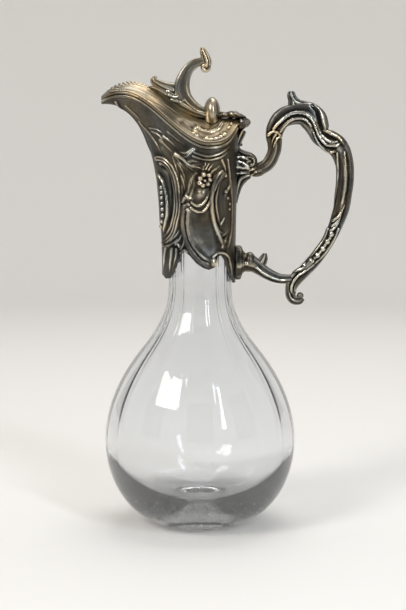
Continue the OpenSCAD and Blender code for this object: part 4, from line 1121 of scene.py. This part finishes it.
class CLARET_OT_hinge(bpy.types.Operator):
    """The leafy strap on the lid, the plate on the collar, and their knuckles"""
    bl_idname = "claret.hinge"
    bl_label = "Hinge Leaves"

    def execute(self, context):
        """The lid's strap leads down the ridge to knuckles 1 and 3, the collar's plate up to 0, 2 and 4."""
        strap = [casting("lid_hinge_strap", drawn(LID_STRAP), 16, lobed, STRAP_MARKS, 64, over_lid=True)]
        for piece in strap + knuckle_row("lid_knuckle", (1, 3), 1):
            dressed(piece, "lid", "silver plate", "lid_hinge_leaf")
        plate_up = [casting("collar_hinge_plate", drawn(COLLAR_STRAP), 12, lobed, sides=48)]
        for piece in plate_up + knuckle_row("collar_knuckle", (0, 2, 4), -1):
            dressed(piece, "jug", "silver plate", "collar_hinge_leaf")
        return {"FINISHED"}


class CLARET_OT_carried_over(bpy.types.Operator):
    """Finishes of the construction's own pieces that stay as they are"""
    bl_idname = "claret.carried_over"
    bl_label = "Pin, Plaster and Inner Pieces"

    def execute(self, context):
        finishes = {"neck_plaster": "neck plaster", "throat_ring": "inner plate", "lid_bezel": "inner plate",
                    "hinge_pin": "pin wire"}
        for node, finish in finishes.items():
            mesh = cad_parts[node].data
            mesh.materials.clear()
            mesh.materials.append(finish_named(finish))
        return {"FINISHED"}


class CLARET_OT_stage(bpy.types.Operator):
    """The pale floor and backdrop, the lamps and the camera"""
    bl_idname = "claret.stage"
    bl_label = "Stage"

    def execute(self, context):
        """The stage is a dish: flat round the jug, and curving up to a wall all round."""
        sides, flat, bend, wall = 96, 1500, 700, 2600
        climb = np.linspace(0.1, np.pi / 2, 16)
        r = np.concatenate([np.linspace(1, flat, 12), flat + bend * np.sin(climb), [flat + bend]])
        z = np.concatenate([np.zeros(12), bend * (1 - np.cos(climb)), [wall]])
        turn = np.linspace(0, 2 * np.pi, sides, endpoint=False)
        grid = np.stack([r[:, None] * np.cos(turn), r[:, None] * np.sin(turn), z[:, None] + 0 * turn], -1)
        vertices = grid.reshape(-1, 3) * MM
        c = np.arange(sides)
        d = (c + 1) % sides
        faces = [np.stack([i * sides + c, i * sides + d, (i + 1) * sides + d, (i + 1) * sides + c], -1)
                 for i in range(len(r) - 1)]
        mesh = bpy.data.meshes.new("stage")
        mesh.from_pydata(vertices.tolist(), [], np.vstack(faces).tolist() + [list(range(sides))[::-1]])
        mesh.polygons.foreach_set("use_smooth", np.ones(len(mesh.polygons), bool))
        floor = bpy.data.objects.new("stage", mesh)
        context.scene.collection.objects.link(floor)
        mesh.materials.append(matt("pale backdrop", context.scene.claret_jug.backdrop))

        def lamp(name, place, size, size_y, power, colour):
            data = bpy.data.lights.new(name, "AREA")
            data.shape = "RECTANGLE"
            data.size, data.size_y = size, size_y
            data.energy = power
            data.color = colour
            light = bpy.data.objects.new(name, data)
            light.location = place
            towards = -light.location + Vector((0, 0, 0.15))
            light.rotation_euler = towards.to_track_quat("-Z", "Y").to_euler()
            context.scene.collection.objects.link(light)

        def card(name, turn):
            """A dark card that only reflections see, upright at an angle round the jug."""
            distance, wide, low, high = 1.9, 0.95, 0.05, 1.5
            middle = distance * np.array([np.sin(turn), -np.cos(turn)])
            side = wide / 2 * np.array([np.cos(turn), np.sin(turn)])
            corners = [(*(middle + s * side), z) for s, z in ((-1, low), (1, low), (1, high), (-1, high))]
            mesh = bpy.data.meshes.new(name)
            mesh.from_pydata([tuple(map(float, corner)) for corner in corners], [], [(3, 2, 1, 0)])
            mesh.materials.append(matt(name, (0.015, 0.014, 0.013)))
            piece = bpy.data.objects.new(name, mesh)
            context.scene.collection.objects.link(piece)
            piece.visible_camera = piece.visible_transmission = False
            piece.visible_diffuse = piece.visible_shadow = False

        lamp("key", (-1.0, -1.0, 1.25), 0.5, 0.7, 13, (1.0, 0.97, 0.92))
        lamp("window", (0.66, -1.06, 0.8), 0.14, 0.9, 7, (0.85, 0.93, 1.0))
        lamp("top", (0.2, 0.5, 1.7), 1.2, 1.2, 12, (1, 1, 1))
        for i, degrees in enumerate((0, 58, 118, 178, 238, 298)):
            card(f"card_{i}", np.radians(degrees))
        world = bpy.data.worlds.new("studio")
        world.use_nodes = True
        world.node_tree.nodes["Background"].inputs["Color"].default_value = (0.85, 0.85, 0.86, 1)
        world.node_tree.nodes["Background"].inputs["Strength"].default_value = 0.6
        context.scene.world = world
        context.scene.view_settings.view_transform = "Standard"

        camera = bpy.data.objects.new("camera", bpy.data.cameras.new("camera"))
        aim = Vector(((PHOTO_W / 2 - AXIS_PX) * PIXEL, 0, AIM_Z)) * MM
        away = Vector((0, -np.cos(EYE_PITCH), np.sin(EYE_PITCH))) * EYE_DISTANCE * MM
        camera.location = aim + away
        camera.rotation_euler = (-away).to_track_quat("-Z", "Y").to_euler()
        camera.data.sensor_width = SENSOR
        camera.data.lens = SENSOR * EYE_DISTANCE / (PIXEL * PHOTO_H)
        camera.data.clip_start = 0.01
        context.scene.collection.objects.link(camera)
        context.scene.camera = camera
        return {"FINISHED"}


PIECES = (CLARET_OT_glass, CLARET_OT_collar, CLARET_OT_lid, CLARET_OT_thumb_scroll, CLARET_OT_handle,
          CLARET_OT_hinge, CLARET_OT_carried_over, CLARET_OT_stage)


class CLARET_PT_panel(bpy.types.Panel):
    bl_label = "Claret Jug"
    bl_idname = "CLARET_PT_panel"
    bl_space_type = "VIEW_3D"
    bl_region_type = "UI"
    bl_category = "Claret Jug"

    def draw(self, context):
        settings = context.scene.claret_jug
        for name in ClaretJugSettings.__annotations__:
            self.layout.prop(settings, name)
        for piece in PIECES:
            self.layout.operator(piece.bl_idname)


CLASSES = (ClaretJugSettings, *PIECES, CLARET_PT_panel)


def register():
    for c in CLASSES:
        bpy.utils.register_class(c)
    bpy.types.Scene.claret_jug = bpy.props.PointerProperty(type=ClaretJugSettings)


def unregister():
    del bpy.types.Scene.claret_jug
    for c in reversed(CLASSES):
        bpy.utils.unregister_class(c)


def main():
    register()
    bpy.ops.claret.stage()
    bpy.ops.claret.glass()
    bpy.ops.claret.collar()
    bpy.ops.claret.lid()
    bpy.ops.claret.thumb_scroll()
    bpy.ops.claret.handle()
    bpy.ops.claret.hinge()
    bpy.ops.claret.carried_over()


if __name__ == "__main__":
    main()
